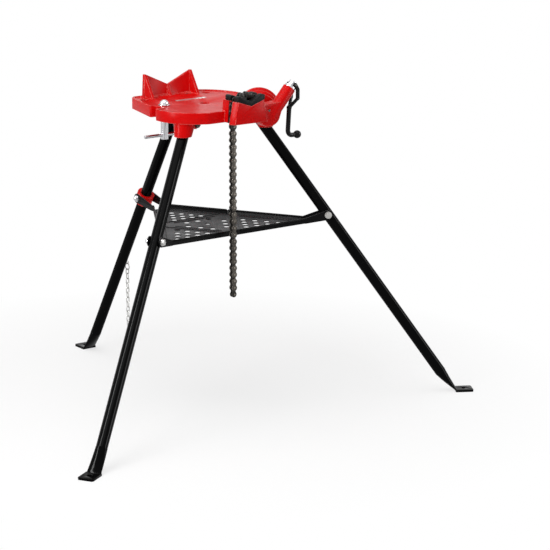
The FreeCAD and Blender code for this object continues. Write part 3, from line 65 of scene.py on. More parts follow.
RIM_DROP = 0.0006  # bead's centre below the rim's top
RIM_INSET = 0.0008  # bead's centre in from the sheet's edge
RIM_END_GAP = 0.0022  # bead's end away from a fold
FRONT_SEAM_GAP = 0.0016  # bead's end away from the seam between the front leaves
FOLD_RIB_RADIUS = 0.0019
FOLD_RIB_SET = 0.0085  # rib's distance from the fold
FOLD_RIB_SHORT = 0.012  # how far the rib stops short of the leaf's edges
RIB_INSET = 0.002
CENTRE_RIB_HALF = 0.060
SIDE_RIB_RADIUS = 0.0016
SIDE_RIB_NEAR = (0.016, 0.074)  # out from the fold, and sideways
SIDE_RIB_FAR = (0.022, 0.006)  # in from the rims' ends, and sideways
LEAF_RIB_DROP = 0.0004
RIB_DROP = 0.0006
RIVET_HEAD = {"Head Radius": 0.0026, "Head Height": 0.0007}
STRIP_PLACE = (0.005, HUB_Y + 0.0752)
STRIP_TURN = 0.4  # degrees
STRIP_HALF_LENGTH = 0.043
STRIP_HALF_WIDTH = 0.0052
STRIP_CORNER = 0.0022
STRIP_LIFT = 0.0001  # its underside above the deck
STRIP_THICKNESS = 0.0009
WALL_FRONT = HUB_Y - 0.1745  # the wall in front of the chain's slot leans out towards its foot
WALL_BACK = HUB_Y - 0.1570
WALL_EDGE = -0.0365
WALL_TOP = 0.757
WALL_FOOT = 0.705
WALL_FLARE = 0.0066  # how far, at the foot
SLOT_MOUTH_X = -0.024  # the slot is open to the left of this
SLOT_FRONT_Y = HUB_Y - 0.1592
SLOT_BACK_Y = HUB_Y - 0.1330


# ----------------------------------------------------------------------
# shader node helpers
# ----------------------------------------------------------------------
class Wiring:
    """Adds nodes to a tree and joins them, so that a finish reads as a short recipe."""

    def __init__(self, tree):
        self.tree = tree

    def add(self, kind, **settings):
        """A new node with its settings."""
        node = self.tree.nodes.new(kind)
        for name, value in settings.items():
            setattr(node, name, value)
        return node

    def join(self, source, target):
        """Links an output to an input."""
        self.tree.links.new(source, target)

    def math(self, operation, first, second=None, clamp=False):
        """One sum of two values, each a number or a socket."""
        node = self.add("ShaderNodeMath", operation=operation, use_clamp=clamp)
        for socket, value in zip(node.inputs, (first, second)):
            if isinstance(value, bpy.types.NodeSocket):
                self.join(value, socket)
            elif value is not None:
                socket.default_value = value
        return node.outputs[0]

    def spread(self, value, low, high, out_low=0.0, out_high=1.0):
        """Maps low..high to out_low..out_high, held at both ends."""
        node = self.add("ShaderNodeMapRange")
        self.join(value, node.inputs["Value"])
        ends = {"From Min": low, "From Max": high, "To Min": out_low, "To Max": out_high}
        for name, number in ends.items():
            if isinstance(number, bpy.types.NodeSocket):
                self.join(number, node.inputs[name])
            else:
                node.inputs[name].default_value = number
        return node.outputs["Result"]

    def noise(self, vector, scale, detail, roughness):
        """Cloudy noise around 0.5."""
        node = self.add("ShaderNodeTexNoise")
        self.join(vector, node.inputs["Vector"])
        if isinstance(scale, bpy.types.NodeSocket):
            self.join(scale, node.inputs["Scale"])
        else:
            node.inputs["Scale"].default_value = scale
        node.inputs["Detail"].default_value = detail
        node.inputs["Roughness"].default_value = roughness
        return node.outputs["Fac"]

    def mix(self, factor, first, second):
        """Two colours blended by a mask."""
        node = self.add("ShaderNodeMix", data_type="RGBA")
        for index, value in ((0, factor), (6, first), (7, second)):
            socket = node.inputs[index]
            if isinstance(value, bpy.types.NodeSocket):
                self.join(value, socket)
            elif isinstance(value, tuple):
                socket.default_value = (*value, 1.0)
            else:
                socket.default_value = value
        return node.outputs[2]


def effect(name, inputs, outputs):
    """An empty shader node group with number inputs and outputs, and its wiring."""
    group = bpy.data.node_groups.new(name, "ShaderNodeTree")
    for socket_name, default in inputs:
        socket = group.interface.new_socket(name=socket_name, in_out="INPUT", socket_type="NodeSocketFloat")
        socket.default_value = default
    for socket_name in outputs:
        group.interface.new_socket(name=socket_name, in_out="OUTPUT", socket_type="NodeSocketFloat")
    wiring = Wiring(group)
    return group, wiring, wiring.add("NodeGroupInput").outputs, wiring.add("NodeGroupOutput").inputs


def cast_skin_effect():
    """Sand-cast surface under thick enamel: slow waves, fine grit and a cloudy shade."""
    group, w, given, out = effect("cast_skin", [("Grit", 260.0), ("Wave", 38.0)], ["Height", "Cloud"])
    place = w.add("ShaderNodeTexCoord").outputs["Object"]
    grit = w.noise(place, given["Grit"], 3.0, 0.6)
    wave = w.noise(place, given["Wave"], 2.0, 0.5)
    pit = w.spread(w.noise(place, 520.0, 2.0, 0.5), 0.62, 0.74, 0.0, -0.7)
    height = w.math("ADD", w.math("MULTIPLY", grit, 0.35), w.math("MULTIPLY", wave, 0.9))
    w.join(w.math("ADD", height, pit), out["Height"])
    w.join(w.spread(w.noise(place, 9.0, 4.0, 0.6), 0.32, 0.68), out["Cloud"])
    return group


def edge_rub_and_highlight_effect():
    """A broken paler line along outside edges: wear where they are handled, and a painted highlight on the red
    enamel.
    """
    inputs = [("Width", 0.0012), ("Break", 120.0), ("Amount", 1.0)]
    group, w, given, out = effect("edge_rub_and_highlight", inputs, ["Mask"])
    rounded = w.add("ShaderNodeBevel", samples=4)
    w.join(given["Width"], rounded.inputs["Radius"])
    flat = w.add("ShaderNodeNewGeometry").outputs["Normal"]
    dot = w.add("ShaderNodeVectorMath", operation="DOT_PRODUCT")
    w.join(rounded.outputs[0], dot.inputs[0])
    w.join(flat, dot.inputs[1])
    edge = w.spread(dot.outputs["Value"], 0.995, 0.90)
    place = w.add("ShaderNodeTexCoord").outputs["Object"]
    broken = w.spread(w.noise(place, given["Break"], 5.0, 0.7), 0.42, 0.55)
    w.join(w.math("MULTIPLY", w.math("MULTIPLY", edge, broken), given["Amount"], True), out["Mask"])
    return group


def scratch_effect():
    """Fine scratches in two directions, and the drawn grain of metal bar."""
    group, w, given, out = effect("fine_scratches", [("Scale", 60.0), ("Reach", 14.0)], ["Mask", "Height"])
    place = w.add("ShaderNodeTexCoord").outputs["Object"]
    lines = []
    for turn in (0.35, 1.25):
        mapping = w.add("ShaderNodeMapping")
        mapping.inputs["Rotation"].default_value = (turn, 0.2, turn * 1.7)
        w.join(place, mapping.inputs["Vector"])
        stretched = w.add("ShaderNodeVectorMath", operation="MULTIPLY")
        w.join(mapping.outputs["Vector"], stretched.inputs[0])
        stretched.inputs[1].default_value = (1.0, 14.0, 14.0)
        lines.append(w.spread(w.noise(stretched.outputs["Vector"], given["Scale"], 3.0, 0.6), 0.60, 0.68))
    both = w.math("MAXIMUM", lines[0], lines[1])
    patches = w.spread(w.noise(place, given["Reach"], 3.0, 0.6), 0.42, 0.62)
    w.join(w.math("MULTIPLY", both, patches, True), out["Mask"])
    w.join(w.math("MULTIPLY", both, -0.4), out["Height"])
    return group


def upward_paling_effect():
    """Paler colour on faces that look up, stronger in broad patches."""
    group, w, given, out = effect("upward_paling", [("Amount", 0.2)], ["Mask"])
    normal = w.add("ShaderNodeNewGeometry").outputs["Normal"]
    split = w.add("ShaderNodeSeparateXYZ")
    w.join(normal, split.inputs[0])
    up = w.spread(split.outputs["Z"], 0.3, 1.0)
    place = w.add("ShaderNodeTexCoord").outputs["Object"]
    patches = w.spread(w.noise(place, 16.0, 6.0, 0.65), 0.35, 0.75)
    w.join(w.math("MULTIPLY", w.math("MULTIPLY", up, patches), given["Amount"], True), out["Mask"])
    return group


def slot_painted_shade_effect():
    """Painted shade inside the head's slot where the chain hangs: a box with soft sides."""
    group, w, given, out = effect("slot_painted_shade", [("Soft Edge", 0.003)], ["Mask"])
    place = w.add("ShaderNodeSeparateXYZ")
    w.join(w.add("ShaderNodeTexCoord").outputs["Object"], place.inputs[0])
    walls = [("X", SLOT_MOUTH_X, -1), ("Y", SLOT_FRONT_Y, 1), ("Y", SLOT_BACK_Y, -1), ("Z", WALL_TOP, -1)]
    whole = 1.0
    for axis, limit, side in walls:
        past = w.math("MULTIPLY", w.math("SUBTRACT", place.outputs[axis], limit), side)
        whole = w.math("MULTIPLY", w.spread(past, 0.0, given["Soft Edge"]), whole)
    w.join(whole, out["Mask"])
    return group


CAST_SKIN = cast_skin_effect()
EDGE_RUB_AND_HIGHLIGHT = edge_rub_and_highlight_effect()
SCRATCHES = scratch_effect()
UPWARD_PALING = upward_paling_effect()
SLOT_PAINTED_SHADE = slot_painted_shade_effect()


class Finish:
    """One material: a Principled shader, and the effects that vary it over the surface."""

    def __init__(self, name, color, metallic, **constants):
        self.material = bpy.data.materials.new(name)
        self.material.use_nodes = True
        self.w = Wiring(self.material.node_tree)
        self.shader = next(n for n in self.material.node_tree.nodes if n.type == "BSDF_PRINCIPLED")
        self.color = color
        self.roughness = None
        self.height = None
        self.shader.inputs["Base Color"].default_value = (*color, 1.0)
        self.shader.inputs["Metallic"].default_value = metallic
        for socket, value in constants.items():
            self.shader.inputs[socket.replace("_", " ")].default_value = value

    def use(self, group, **values):
        """The outputs of one effect."""
        node = self.w.add("ShaderNodeGroup", node_tree=group)
        for name, value in values.items():
            node.inputs[name].default_value = value
        return node.outputs

    def tint(self, mask, color):
        """Lays a colour over the last one where the mask is high."""
        self.color = self.w.mix(mask, self.color, color)

    def vary_roughness(self, mask, low, high):
        """Roughness from low to high along the mask."""
        self.roughness = self.w.spread(mask, 0.0, 1.0, low, high)

    def finished(self, bump=0.0, distance=0.0002, edge=0.0):
        """Joins what was laid on to the shader and gives the material, with its edges rounded by edge."""
        w = self.w
        w.join(self.color, self.shader.inputs["Base Color"])
        w.join(self.roughness, self.shader.inputs["Roughness"])
        normal = None
        if edge:
            rounding = w.add("ShaderNodeBevel", samples=6)
            rounding.inputs["Radius"].default_value = edge
            normal = rounding.outputs[0]
        if self.height is not None:
            node = w.add("ShaderNodeBump")
            node.inputs["Strength"].default_value = bump
            node.inputs["Distance"].default_value = distance
            w.join(self.height, node.inputs["Height"])
            if normal is not None:
                w.join(normal, node.inputs["Normal"])
            normal = node.outputs[0]
        if normal is not None:
            w.join(normal, self.shader.inputs["Normal"])
        return self.material


# ----------------------------------------------------------------------
# finishes
# ----------------------------------------------------------------------
def red_enamel():
    """Thick red enamel on the castings, with painted highlights along its edges and painted shade in the chain's
    slot.
    """
    f = Finish("red_cast_enamel", (0.58, 0.0015, 0.0015), 0.0, Specular_IOR_Level=0.06)
    skin = f.use(CAST_SKIN)
    f.tint(f.w.math("MULTIPLY", skin["Cloud"], 0.5), (0.50, 0.0015, 0.002))
    f.tint(f.use(UPWARD_PALING, Amount=0.06)["Mask"], (0.62, 0.16, 0.14))
    # Painted highlight: pale pink along the casting's outside edges.
    f.tint(f.use(EDGE_RUB_AND_HIGHLIGHT, Width=0.0022, Break=45.0, Amount=0.75)["Mask"], (0.85, 0.27, 0.24))
    # Painted shade: the chain's slot is painted near black.
    f.tint(f.w.math("MULTIPLY", f.use(SLOT_PAINTED_SHADE)["Mask"], 0.92), (0.012, 0.004, 0.004))
    f.vary_roughness(skin["Cloud"], 0.24, 0.38)
    f.height = skin["Height"]
    return f.finished(0.35, 0.00025, 0.0016)


def black_tube_enamel():
    """Glossy black enamel on the leg tubes, faintly scratched."""
    f = Finish("black_tube_enamel", (0.0012, 0.0012, 0.0014), 0.0, Specular_IOR_Level=0.035)
    skin = f.use(CAST_SKIN, Grit=420.0, Wave=70.0)
    f.tint(f.use(SCRATCHES, Scale=50.0)["Mask"], (0.005, 0.005, 0.0048))
    f.tint(f.use(UPWARD_PALING, Amount=0.08)["Mask"], (0.008, 0.0078, 0.0075))
    f.vary_roughness(skin["Cloud"], 0.09, 0.15)
    f.height = skin["Height"]
    return f.finished(0.12, 0.0001, 0.0006)


def tray_enamel():
    """Dark grey floor, darker in cloudy patches, with painted light: upright walls painted near black and the
    upward floor kept paler.
    """
    f = Finish("dark_tray_enamel", (0.060, 0.061, 0.064), 0.0, Specular_IOR_Level=0.05)
    skin = f.use(CAST_SKIN, Grit=700.0, Wave=22.0)
    f.tint(f.w.math("MULTIPLY", skin["Cloud"], 0.85), (0.026, 0.0265, 0.028))
    f.tint(f.use(SCRATCHES, Scale=35.0, Reach=20.0)["Mask"], (0.20, 0.20, 0.21))
    f.tint(f.use(EDGE_RUB_AND_HIGHLIGHT, Width=0.0006, Amount=0.25)["Mask"], (0.30, 0.29, 0.28))
    # Painted light: upright walls go near black while the upward-facing floor stays paler grey.
    facing_for_painted_shade = f.w.add("ShaderNodeSeparateXYZ")
    f.w.join(f.w.add("ShaderNodeNewGeometry").outputs["Normal"], facing_for_painted_shade.inputs[0])
    f.tint(f.w.spread(facing_for_painted_shade.outputs["Z"], 0.75, 0.45), (0.004, 0.004, 0.0045))
    f.vary_roughness(skin["Cloud"], 0.30, 0.46)
    f.height = skin["Height"]
    return f.finished(0.12, 0.00015, 0.0006)


def black_rim_enamel_and_rib_shade():
    """Black enamel on the tray's rims, and on the ribs as painted shade beside the folds."""
    f = Finish("black_rim_enamel_and_rib_shade", (0.0018, 0.0018, 0.002), 0.0, Specular_IOR_Level=0.05)
    skin = f.use(CAST_SKIN, Grit=500.0, Wave=60.0)
    f.tint(f.use(SCRATCHES, Scale=55.0, Reach=30.0)["Mask"], (0.010, 0.010, 0.010))
    f.vary_roughness(skin["Cloud"], 0.22, 0.36)
    f.height = skin["Height"]
    return f.finished(0.12, 0.0001)


def black_oxide():
    """Dull blackened steel of the jaws, worn grey at the teeth."""
    f = Finish("black_oxide_jaw", (0.0035, 0.0035, 0.0037), 0.0, Specular_IOR_Level=0.1)
    skin = f.use(CAST_SKIN, Grit=380.0, Wave=90.0)
    f.tint(f.w.math("MULTIPLY", skin["Cloud"], 0.5), (0.008, 0.0075, 0.0072))
    f.tint(f.use(EDGE_RUB_AND_HIGHLIGHT, Width=0.0007, Break=200.0, Amount=0.6)["Mask"], (0.10, 0.095, 0.09))
    f.vary_roughness(skin["Cloud"], 0.40, 0.58)
    f.height = skin["Height"]
    return f.finished(0.4, 0.0002, 0.0007)


def chain_steel(name, color, shade, metallic, roughness, rub=0.0, rubbed=None):
    """Link plates under a film of oil: a cloudy shade, and paler edges where they rub."""
    f = Finish(name, color, metallic)
    skin = f.use(CAST_SKIN, Grit=600.0, Wave=150.0)
    f.tint(f.w.math("MULTIPLY", skin["Cloud"], 0.7), shade)
    if rub:
        f.tint(f.use(EDGE_RUB_AND_HIGHLIGHT, Width=0.0005, Break=260.0, Amount=rub)["Mask"], rubbed)
    f.vary_roughness(skin["Cloud"], *roughness)
    f.height = skin["Height"]
    return f.finished(0.3, 0.00012, 0.0004)


def rivet_steel():
    """Cloudy steel of the chain's rivet heads."""
    f = Finish("chain_rivet_steel", (0.17, 0.155, 0.138), 0.9)
    skin = f.use(CAST_SKIN, Grit=800.0, Wave=200.0)
    f.tint(skin["Cloud"], (0.12, 0.108, 0.092))
    f.vary_roughness(skin["Cloud"], 0.28, 0.45)
    return f.finished()


def bright_plate():
    """Bright plating with fine marks."""
    f = Finish("bright_plating", (0.60, 0.60, 0.62), 1.0)
    skin = f.use(CAST_SKIN, Grit=300.0, Wave=25.0)
    marks = f.use(SCRATCHES, Scale=90.0, Reach=26.0)
    f.tint(f.w.math("MULTIPLY", skin["Cloud"], 0.5), (0.40, 0.40, 0.415))
    f.tint(f.w.math("MULTIPLY", marks["Mask"], 0.6), (0.36, 0.355, 0.35))
    clouded = f.w.math("MULTIPLY", skin["Cloud"], 0.5)
    f.vary_roughness(f.w.math("MAXIMUM", marks["Mask"], clouded), 0.09, 0.28)
    f.height = marks["Height"]
    return f.finished(0.1, 0.00005, 0.0005)


def crank_enamel():
    """Black enamel on the forged crank and its knob."""
    f = Finish("forged_black_enamel", (0.002, 0.002, 0.0023), 0.0, Specular_IOR_Level=0.12)
    skin = f.use(CAST_SKIN, Grit=320.0, Wave=60.0)
    f.tint(f.use(SCRATCHES, Scale=70.0)["Mask"], (0.018, 0.017, 0.016))
    f.vary_roughness(skin["Cloud"], 0.15, 0.28)
    f.height = skin["Height"]
    return f.finished(0.2, 0.00015)


def zinc_plate():
    """Dull zinc on the wire chain and the tray bolts."""
    f = Finish("zinc_wire", (0.52, 0.52, 0.51), 0.95)
    skin = f.use(CAST_SKIN, Grit=500.0, Wave=60.0)
    f.tint(f.w.math("MULTIPLY", skin["Cloud"], 0.7), (0.36, 0.355, 0.34))
    f.vary_roughness(skin["Cloud"], 0.26, 0.46)
    f.height = skin["Height"]
    return f.finished(0.15, 0.0001)


def dark_bolt_steel():
    """Dark steel of bolts and pins, worn bright at the edges."""
    f = Finish("dark_bolt_steel", (0.060, 0.058, 0.056), 0.8)
    skin = f.use(CAST_SKIN, Grit=500.0, Wave=120.0)
    f.tint(f.w.math("MULTIPLY", skin["Cloud"], 0.6), (0.030, 0.029, 0.028))
    f.tint(f.use(EDGE_RUB_AND_HIGHLIGHT, Width=0.0005, Amount=0.9)["Mask"], (0.32, 0.31, 0.30))
    f.vary_roughness(skin["Cloud"], 0.30, 0.5)
    f.height = skin["Height"]
    return f.finished(0.2, 0.0001, 0.0005)


def bare_strip_steel():
    """Bare metal of the strip on the deck, with a drawn grain."""
    f = Finish("bare_strip_steel", (0.62, 0.61, 0.60), 0.9)
    lines = f.use(SCRATCHES, Scale=120.0, Reach=6.0)
    skin = f.use(CAST_SKIN, Grit=420.0, Wave=30.0)
    f.tint(f.w.math("MULTIPLY", skin["Cloud"], 0.5), (0.48, 0.47, 0.46))
    f.vary_roughness(lines["Mask"], 0.28, 0.5)
    f.height = lines["Height"]
    return f.finished(0.2, 0.00006, 0.0003)


RED = red_enamel()
TUBE_BLACK = black_tube_enamel()
TRAY_GREY = tray_enamel()
RIM_BLACK_AND_RIB_SHADE = black_rim_enamel_and_rib_shade()
JAW_BLACK = black_oxide()
CHAIN_STEEL = chain_steel("oiled_chain_steel", (0.078, 0.070, 0.060), (0.032, 0.028, 0.024), 0.85,
                          (0.34, 0.55), 0.8, (0.42, 0.38, 0.33))
# Painted shade: the tails' inner links get a darker copy of the chain steel, for the shadow between the outer
# plates.
CHAIN_INNER_PAINTED_SHADE = chain_steel("link_steel_in_painted_shade", (0.030, 0.027, 0.024), (0.022, 0.020, 0.017), 0.8, (0.34, 0.55))
# Painted shade: a darker copy of the chain steel for the chain over the head, which sits in shadow between the
# jaws.
CHAIN_HEAD_PAINTED_SHADE = chain_steel("chain_steel_in_painted_shade", (0.022, 0.020, 0.018), (0.010, 0.009, 0.008), 0.7,
                          (0.32, 0.50), 0.6, (0.14, 0.13, 0.12))
RIVET = rivet_steel()
BRIGHT = bright_plate()
CRANK_BLACK = crank_enamel()
ZINC = zinc_plate()
BOLT_DARK = dark_bolt_steel()
STRIP = bare_strip_steel()

NODE_FINISH = {
    "base_casting": RED, "rear_leg_collar": RED,
    "front_left_leg": TUBE_BLACK, "front_right_leg": TUBE_BLACK, "rear_leg": TUBE_BLACK,
    "tray_centre_panel": TRAY_GREY, "tray_left_leaf": TRAY_GREY, "tray_right_leaf": TRAY_GREY,
    "tray_rear_leaf": TRAY_GREY,
    "front_jaw": JAW_BLACK, "rear_jaw": JAW_BLACK,
    # painted shade: the chain over the head takes the darker steel
    "chain_outer_links": CHAIN_HEAD_PAINTED_SHADE, "chain_inner_links": CHAIN_HEAD_PAINTED_SHADE,
    # painted shade: the tails' inner links take the darker steel
    "chain_upper_tail_inner_links": CHAIN_INNER_PAINTED_SHADE, "chain_upper_tail_outer_links": CHAIN_STEEL,
    "chain_middle_tail_inner_links": CHAIN_INNER_PAINTED_SHADE, "chain_middle_tail_outer_links": CHAIN_STEEL,
    "chain_lower_tail_inner_links": CHAIN_INNER_PAINTED_SHADE, "chain_lower_tail_outer_links": CHAIN_STEEL,
    "draw_nut": CHAIN_HEAD_PAINTED_SHADE, "chain_guide_roller": CHAIN_HEAD_PAINTED_SHADE,
    "brace_cap": BRIGHT, "brace_screw": BRIGHT, "brace_handle_bar": BRIGHT, "tube_bush": BRIGHT,
    "vise_screw": BRIGHT, "left_cap_nut": BRIGHT, "right_cap_nut": BRIGHT, "rear_cap_nut": BRIGHT,
    "left_tray_bolt": ZINC, "right_tray_bolt": ZINC, "rear_tray_bolt": BRIGHT,
    "leg_pivot_bolts": BOLT_DARK, "leg_pivot_nuts": BOLT_DARK, "chain_guide_pin": BOLT_DARK,
    "tray_hinge_pins": BOLT_DARK, "left_tray_pin": BOLT_DARK, "right_tray_pin": BOLT_DARK,
    "rear_tray_pin": BOLT_DARK, "crank_pin": BOLT_DARK,
    "crank_arm": CRANK_BLACK, "crank_ball": CRANK_BLACK,
    "transport_eye": ZINC, "transport_ring": ZINC, "transport_chain_links": ZINC,
}
BODY_OF = {node: body for body, nodes in frame["record"]["behaviour"]["bodies"].items() for node in nodes}


# ----------------------------------------------------------------------
# mesh helpers
# ----------------------------------------------------------------------
def keep_piece(name, mesh, material, body, smooth_angle=35.0):
    """Puts a finished mesh in the scene as a piece that rides on a body."""
    mesh.materials.clear()
    mesh.materials.append(material)
    mesh.shade_smooth()
    if smooth_angle < 180.0:
        mesh.set_sharp_from_angle(angle=math.radians(smooth_angle))
    piece = bpy.data.objects.new(name, mesh)
    mesh.name = name
    bpy.context.scene.collection.objects.link(piece)
    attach(piece, body)
    return piece


def applied(piece):
    """The piece's mesh with its modifiers applied; the piece itself is dropped."""
    bpy.context.view_layer.update()
    graph = bpy.context.evaluated_depsgraph_get()
    mesh = bpy.data.meshes.new_from_object(piece.evaluated_get(graph))
    bpy.data.objects.remove(piece)
    return mesh


def loose_copy(mesh):
    """A linked object that holds a mesh only while modifiers work on it."""
    holder = bpy.data.objects.new("workpiece", mesh)
    bpy.context.scene.collection.objects.link(holder)
    return holder


def merged_copy(node, flat_angle=0.4):
    """The CAD node's mesh with its triangles joined and its flat faces made whole."""
    mesh = frame["nodes"][node].data.copy()
    shape = bmesh.new()
    shape.from_mesh(mesh)
    bmesh.ops.remove_doubles(shape, verts=shape.verts, dist=2e-6)
    if flat_angle:
        bmesh.ops.dissolve_limit(shape, angle_limit=math.radians(flat_angle), verts=shape.verts,
                                 edges=shape.edges)
    shape.to_mesh(mesh)
    shape.free()
    if "custom_normal" in mesh.attributes:
        mesh.attributes.remove(mesh.attributes["custom_normal"])
    return mesh


def flare_head_wall(mesh):
    """Leans the foot of the vise head's front wall out over the chain's slot."""
    for vert in mesh.vertices:
        beside_slot = WALL_FRONT < vert.co.y < WALL_BACK and vert.co.x < WALL_EDGE
        if beside_slot and vert.co.z < WALL_TOP:
            vert.co.x -= WALL_FLARE * (WALL_TOP - vert.co.z) / (WALL_TOP - WALL_FOOT)


def dressed(name, node, edge=0.0, reshape=None):
    """A smooth-faced piece over a CAD node, with its edges broken by a small round."""
    mesh = merged_copy(node)
    if reshape:
        reshape(mesh)
    if edge:
        holder = loose_copy(mesh)
        bevel = holder.modifiers.new("broken_edges", "BEVEL")
        bevel.width = edge
        bevel.segments = 2
        bevel.limit_method = "ANGLE"
        bevel.angle_limit = math.radians(32)
        bevel.use_clamp_overlap = True
        bevel.miter_outer = "MITER_ARC"
        mesh = applied(holder)
    piece = keep_piece(name, mesh, NODE_FINISH[node], BODY_OF[node])
    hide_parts(node)


def forged(name, node, grain, rounds):
    """A forged or cast piece over a CAD node: remeshed finely and relaxed until its joins run together."""
    holder = loose_copy(merged_copy(node, 0.0))
    remesh = holder.modifiers.new("fine_skin", "REMESH")
    remesh.mode = "VOXEL"
    remesh.voxel_size = grain
    smooth = holder.modifiers.new("relaxed_joins", "SMOOTH")
    smooth.factor = 0.5
    smooth.iterations = rounds
    piece = keep_piece(name, applied(holder), NODE_FINISH[node], BODY_OF[node], 180.0)
    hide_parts(node)


def fold_frame(corner):
    """Matrix that takes a leaf's own axes, with +X out along its leg, to the stand's."""
    return Matrix.Translation((0.0, HUB_Y, 0.0)) @ Matrix.Rotation(math.radians(LEG_TURNS[corner]), 4, "Z")


# ----------------------------------------------------------------------
# repeats, made with geometry nodes
# ----------------------------------------------------------------------
def geometry_tree(name, inputs):
    """An empty geometry node tree with number inputs; returns it with its group input and output."""
    tree = bpy.data.node_groups.new(name, "GeometryNodeTree")
    tree.interface.new_socket(name="Geometry", in_out="INPUT", socket_type="NodeSocketGeometry")
    for socket_name, default in inputs:
        socket = tree.interface.new_socket(name=socket_name, in_out="INPUT", socket_type="NodeSocketFloat")
        socket.default_value = default
    tree.interface.new_socket(name="Geometry", in_out="OUTPUT", socket_type="NodeSocketGeometry")
    return tree, tree.nodes.new("NodeGroupInput"), tree.nodes.new("NodeGroupOutput")


def finish_tree(tree, geometry, output, material):
    """Every tree ends the same way: real geometry, then its material."""
    real = tree.nodes.new("GeometryNodeRealizeInstances")
    coat = tree.nodes.new("GeometryNodeSetMaterial")
    coat.inputs["Material"].default_value = material
    tree.links.new(geometry, real.inputs[0])
    tree.links.new(real.outputs[0], coat.inputs["Geometry"])
    tree.links.new(coat.outputs["Geometry"], output.inputs[0])


def run_tree(tree, mesh, values):
    """Runs a tree on a mesh with its named inputs set, and returns the plain mesh it makes."""
    holder = loose_copy(mesh)
    modifier = holder.modifiers.new("repeat", "NODES")
    modifier.node_group = tree
    for item in tree.interface.items_tree:
        if item.in_out == "INPUT" and item.name in values:
            modifier[item.identifier] = values[item.name]
    return applied(holder)


def rivet_tree(material):
    """A domed rivet head on every point, facing out of the chain's side plates."""
    tree, given, output = geometry_tree("rivet_heads", list(RIVET_HEAD.items()))
    dome = tree.nodes.new("GeometryNodeMeshUVSphere")
    dome.inputs["Segments"].default_value = 12
    dome.inputs["Rings"].default_value = 8
    dome.inputs["Radius"].default_value = 1.0
    sizes = tree.nodes.new("ShaderNodeCombineXYZ")
    for axis, name in (("X", "Head Radius"), ("Y", "Head Radius"), ("Z", "Head Height")):
        tree.links.new(given.outputs[name], sizes.inputs[axis])
    place = tree.nodes.new("GeometryNodeInstanceOnPoints")
    place.inputs["Rotation"].default_value = (math.radians(90), 0.0, 0.0)
    tree.links.new(given.outputs["Geometry"], place.inputs["Points"])
    tree.links.new(dome.outputs["Mesh"], place.inputs["Instance"])
    tree.links.new(sizes.outputs[0], place.inputs["Scale"])
    finish_tree(tree, place.outputs["Instances"], output, material)
    return tree


def rivet_seats(pins):
    """One loose point per rivet end, on both outer faces of the chain."""
    low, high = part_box("chain_outer_links")
    mesh = bpy.data.meshes.new("rivet_seats")
    mesh.from_pydata([(pin.x, face, pin.z) for pin in pins for face in (low.y, high.y)], [], [])
    return mesh


def link_middles(node):
    """The middle of each separate link in a CAD node."""
    shape = bmesh.new()
    shape.from_mesh(frame["nodes"][node].data)
    bmesh.ops.remove_doubles(shape, verts=shape.verts, dist=2e-6)
    waiting = set(shape.verts)
    middles = []
    while waiting:
        growing = [waiting.pop()]
        corners = []
        while growing:
            vert = growing.pop()
            corners.append(vert.co.copy())
            near = {edge.other_vert(vert) for edge in vert.link_edges} & waiting
            waiting -= near
            growing.extend(near)
        low = Vector(map(min, *corners))
        high = Vector(map(max, *corners))
        middles.append((low + high) / 2)
    shape.free()
    return middles


def head_chain_pins():
    """Pins of the chain over the head: from the tail's top pin, each link reaches to the next one."""
    middles = link_middles("chain_outer_links") + link_middles("chain_inner_links")
    pins = [JOINT_PLACE["chain_upper_tail"]]
    while middles:
        middle = min(middles, key=lambda place: (place - pins[-1]).length)
        middles.remove(middle)
        pins.append(middle * 2 - pins[-1])
    return pins[1:-1]  # the tail has its own top pin, and the last one is inside the draw nut


# ----------------------------------------------------------------------
# tray edges and ribs
# ----------------------------------------------------------------------
def bead(path, radius, sides=10):
    """A round bead that runs straight from point to point, with closed ends."""
    curve = bpy.data.curves.new("bead_path", "CURVE")
    curve.dimensions = "3D"
    spline = curve.splines.new("POLY")
    spline.points.add(len(path) - 1)
    for point, place in zip(spline.points, path):
        point.co = (*place, 1.0)
    curve.bevel_depth = radius
    curve.bevel_resolution = (sides - 4) // 2
    curve.use_fill_caps = True
    holder = bpy.data.objects.new("bead", curve)
    bpy.context.scene.collection.objects.link(holder)
    bpy.context.view_layer.update()
    mesh = bpy.data.meshes.new_from_object(holder.evaluated_get(bpy.context.evaluated_depsgraph_get()))
    bpy.data.objects.remove(holder)
    return mesh


def joined(meshes):
    """Several meshes as one."""
    shape = bmesh.new()
    for mesh in meshes:
        shape.from_mesh(mesh)
    whole = bpy.data.meshes.new("joined")
    bmesh.ops.recalc_face_normals(shape, faces=shape.faces)
    shape.to_mesh(whole)
    shape.free()
    return whole


def outward(corner):
    """Direction from the hub out along a leg."""
    turn = math.radians(LEG_TURNS[corner])
    return Vector((math.cos(turn), math.sin(turn)))


def tip(corner):
    """The corner's point, where two edges of the tray would meet."""
    return Vector((0.0, HUB_Y)) + outward(corner) * TIP_REACH[corner]


def along_edge(first, second, corner, reach, inset):
    """Point on the tray's edge between two tips, as far out along a leg as reach says."""
    start, end = tip(first), tip(second)
    run = end - start
    hub = Vector((0.0, HUB_Y))
    share = (reach - (start - hub).dot(outward(corner))) / run.dot(outward(corner))
    inward = Vector((-run.y, run.x)).normalized()
    if inward.dot(hub - start) < 0:
        inward = -inward
    return start + run * share + inward * inset


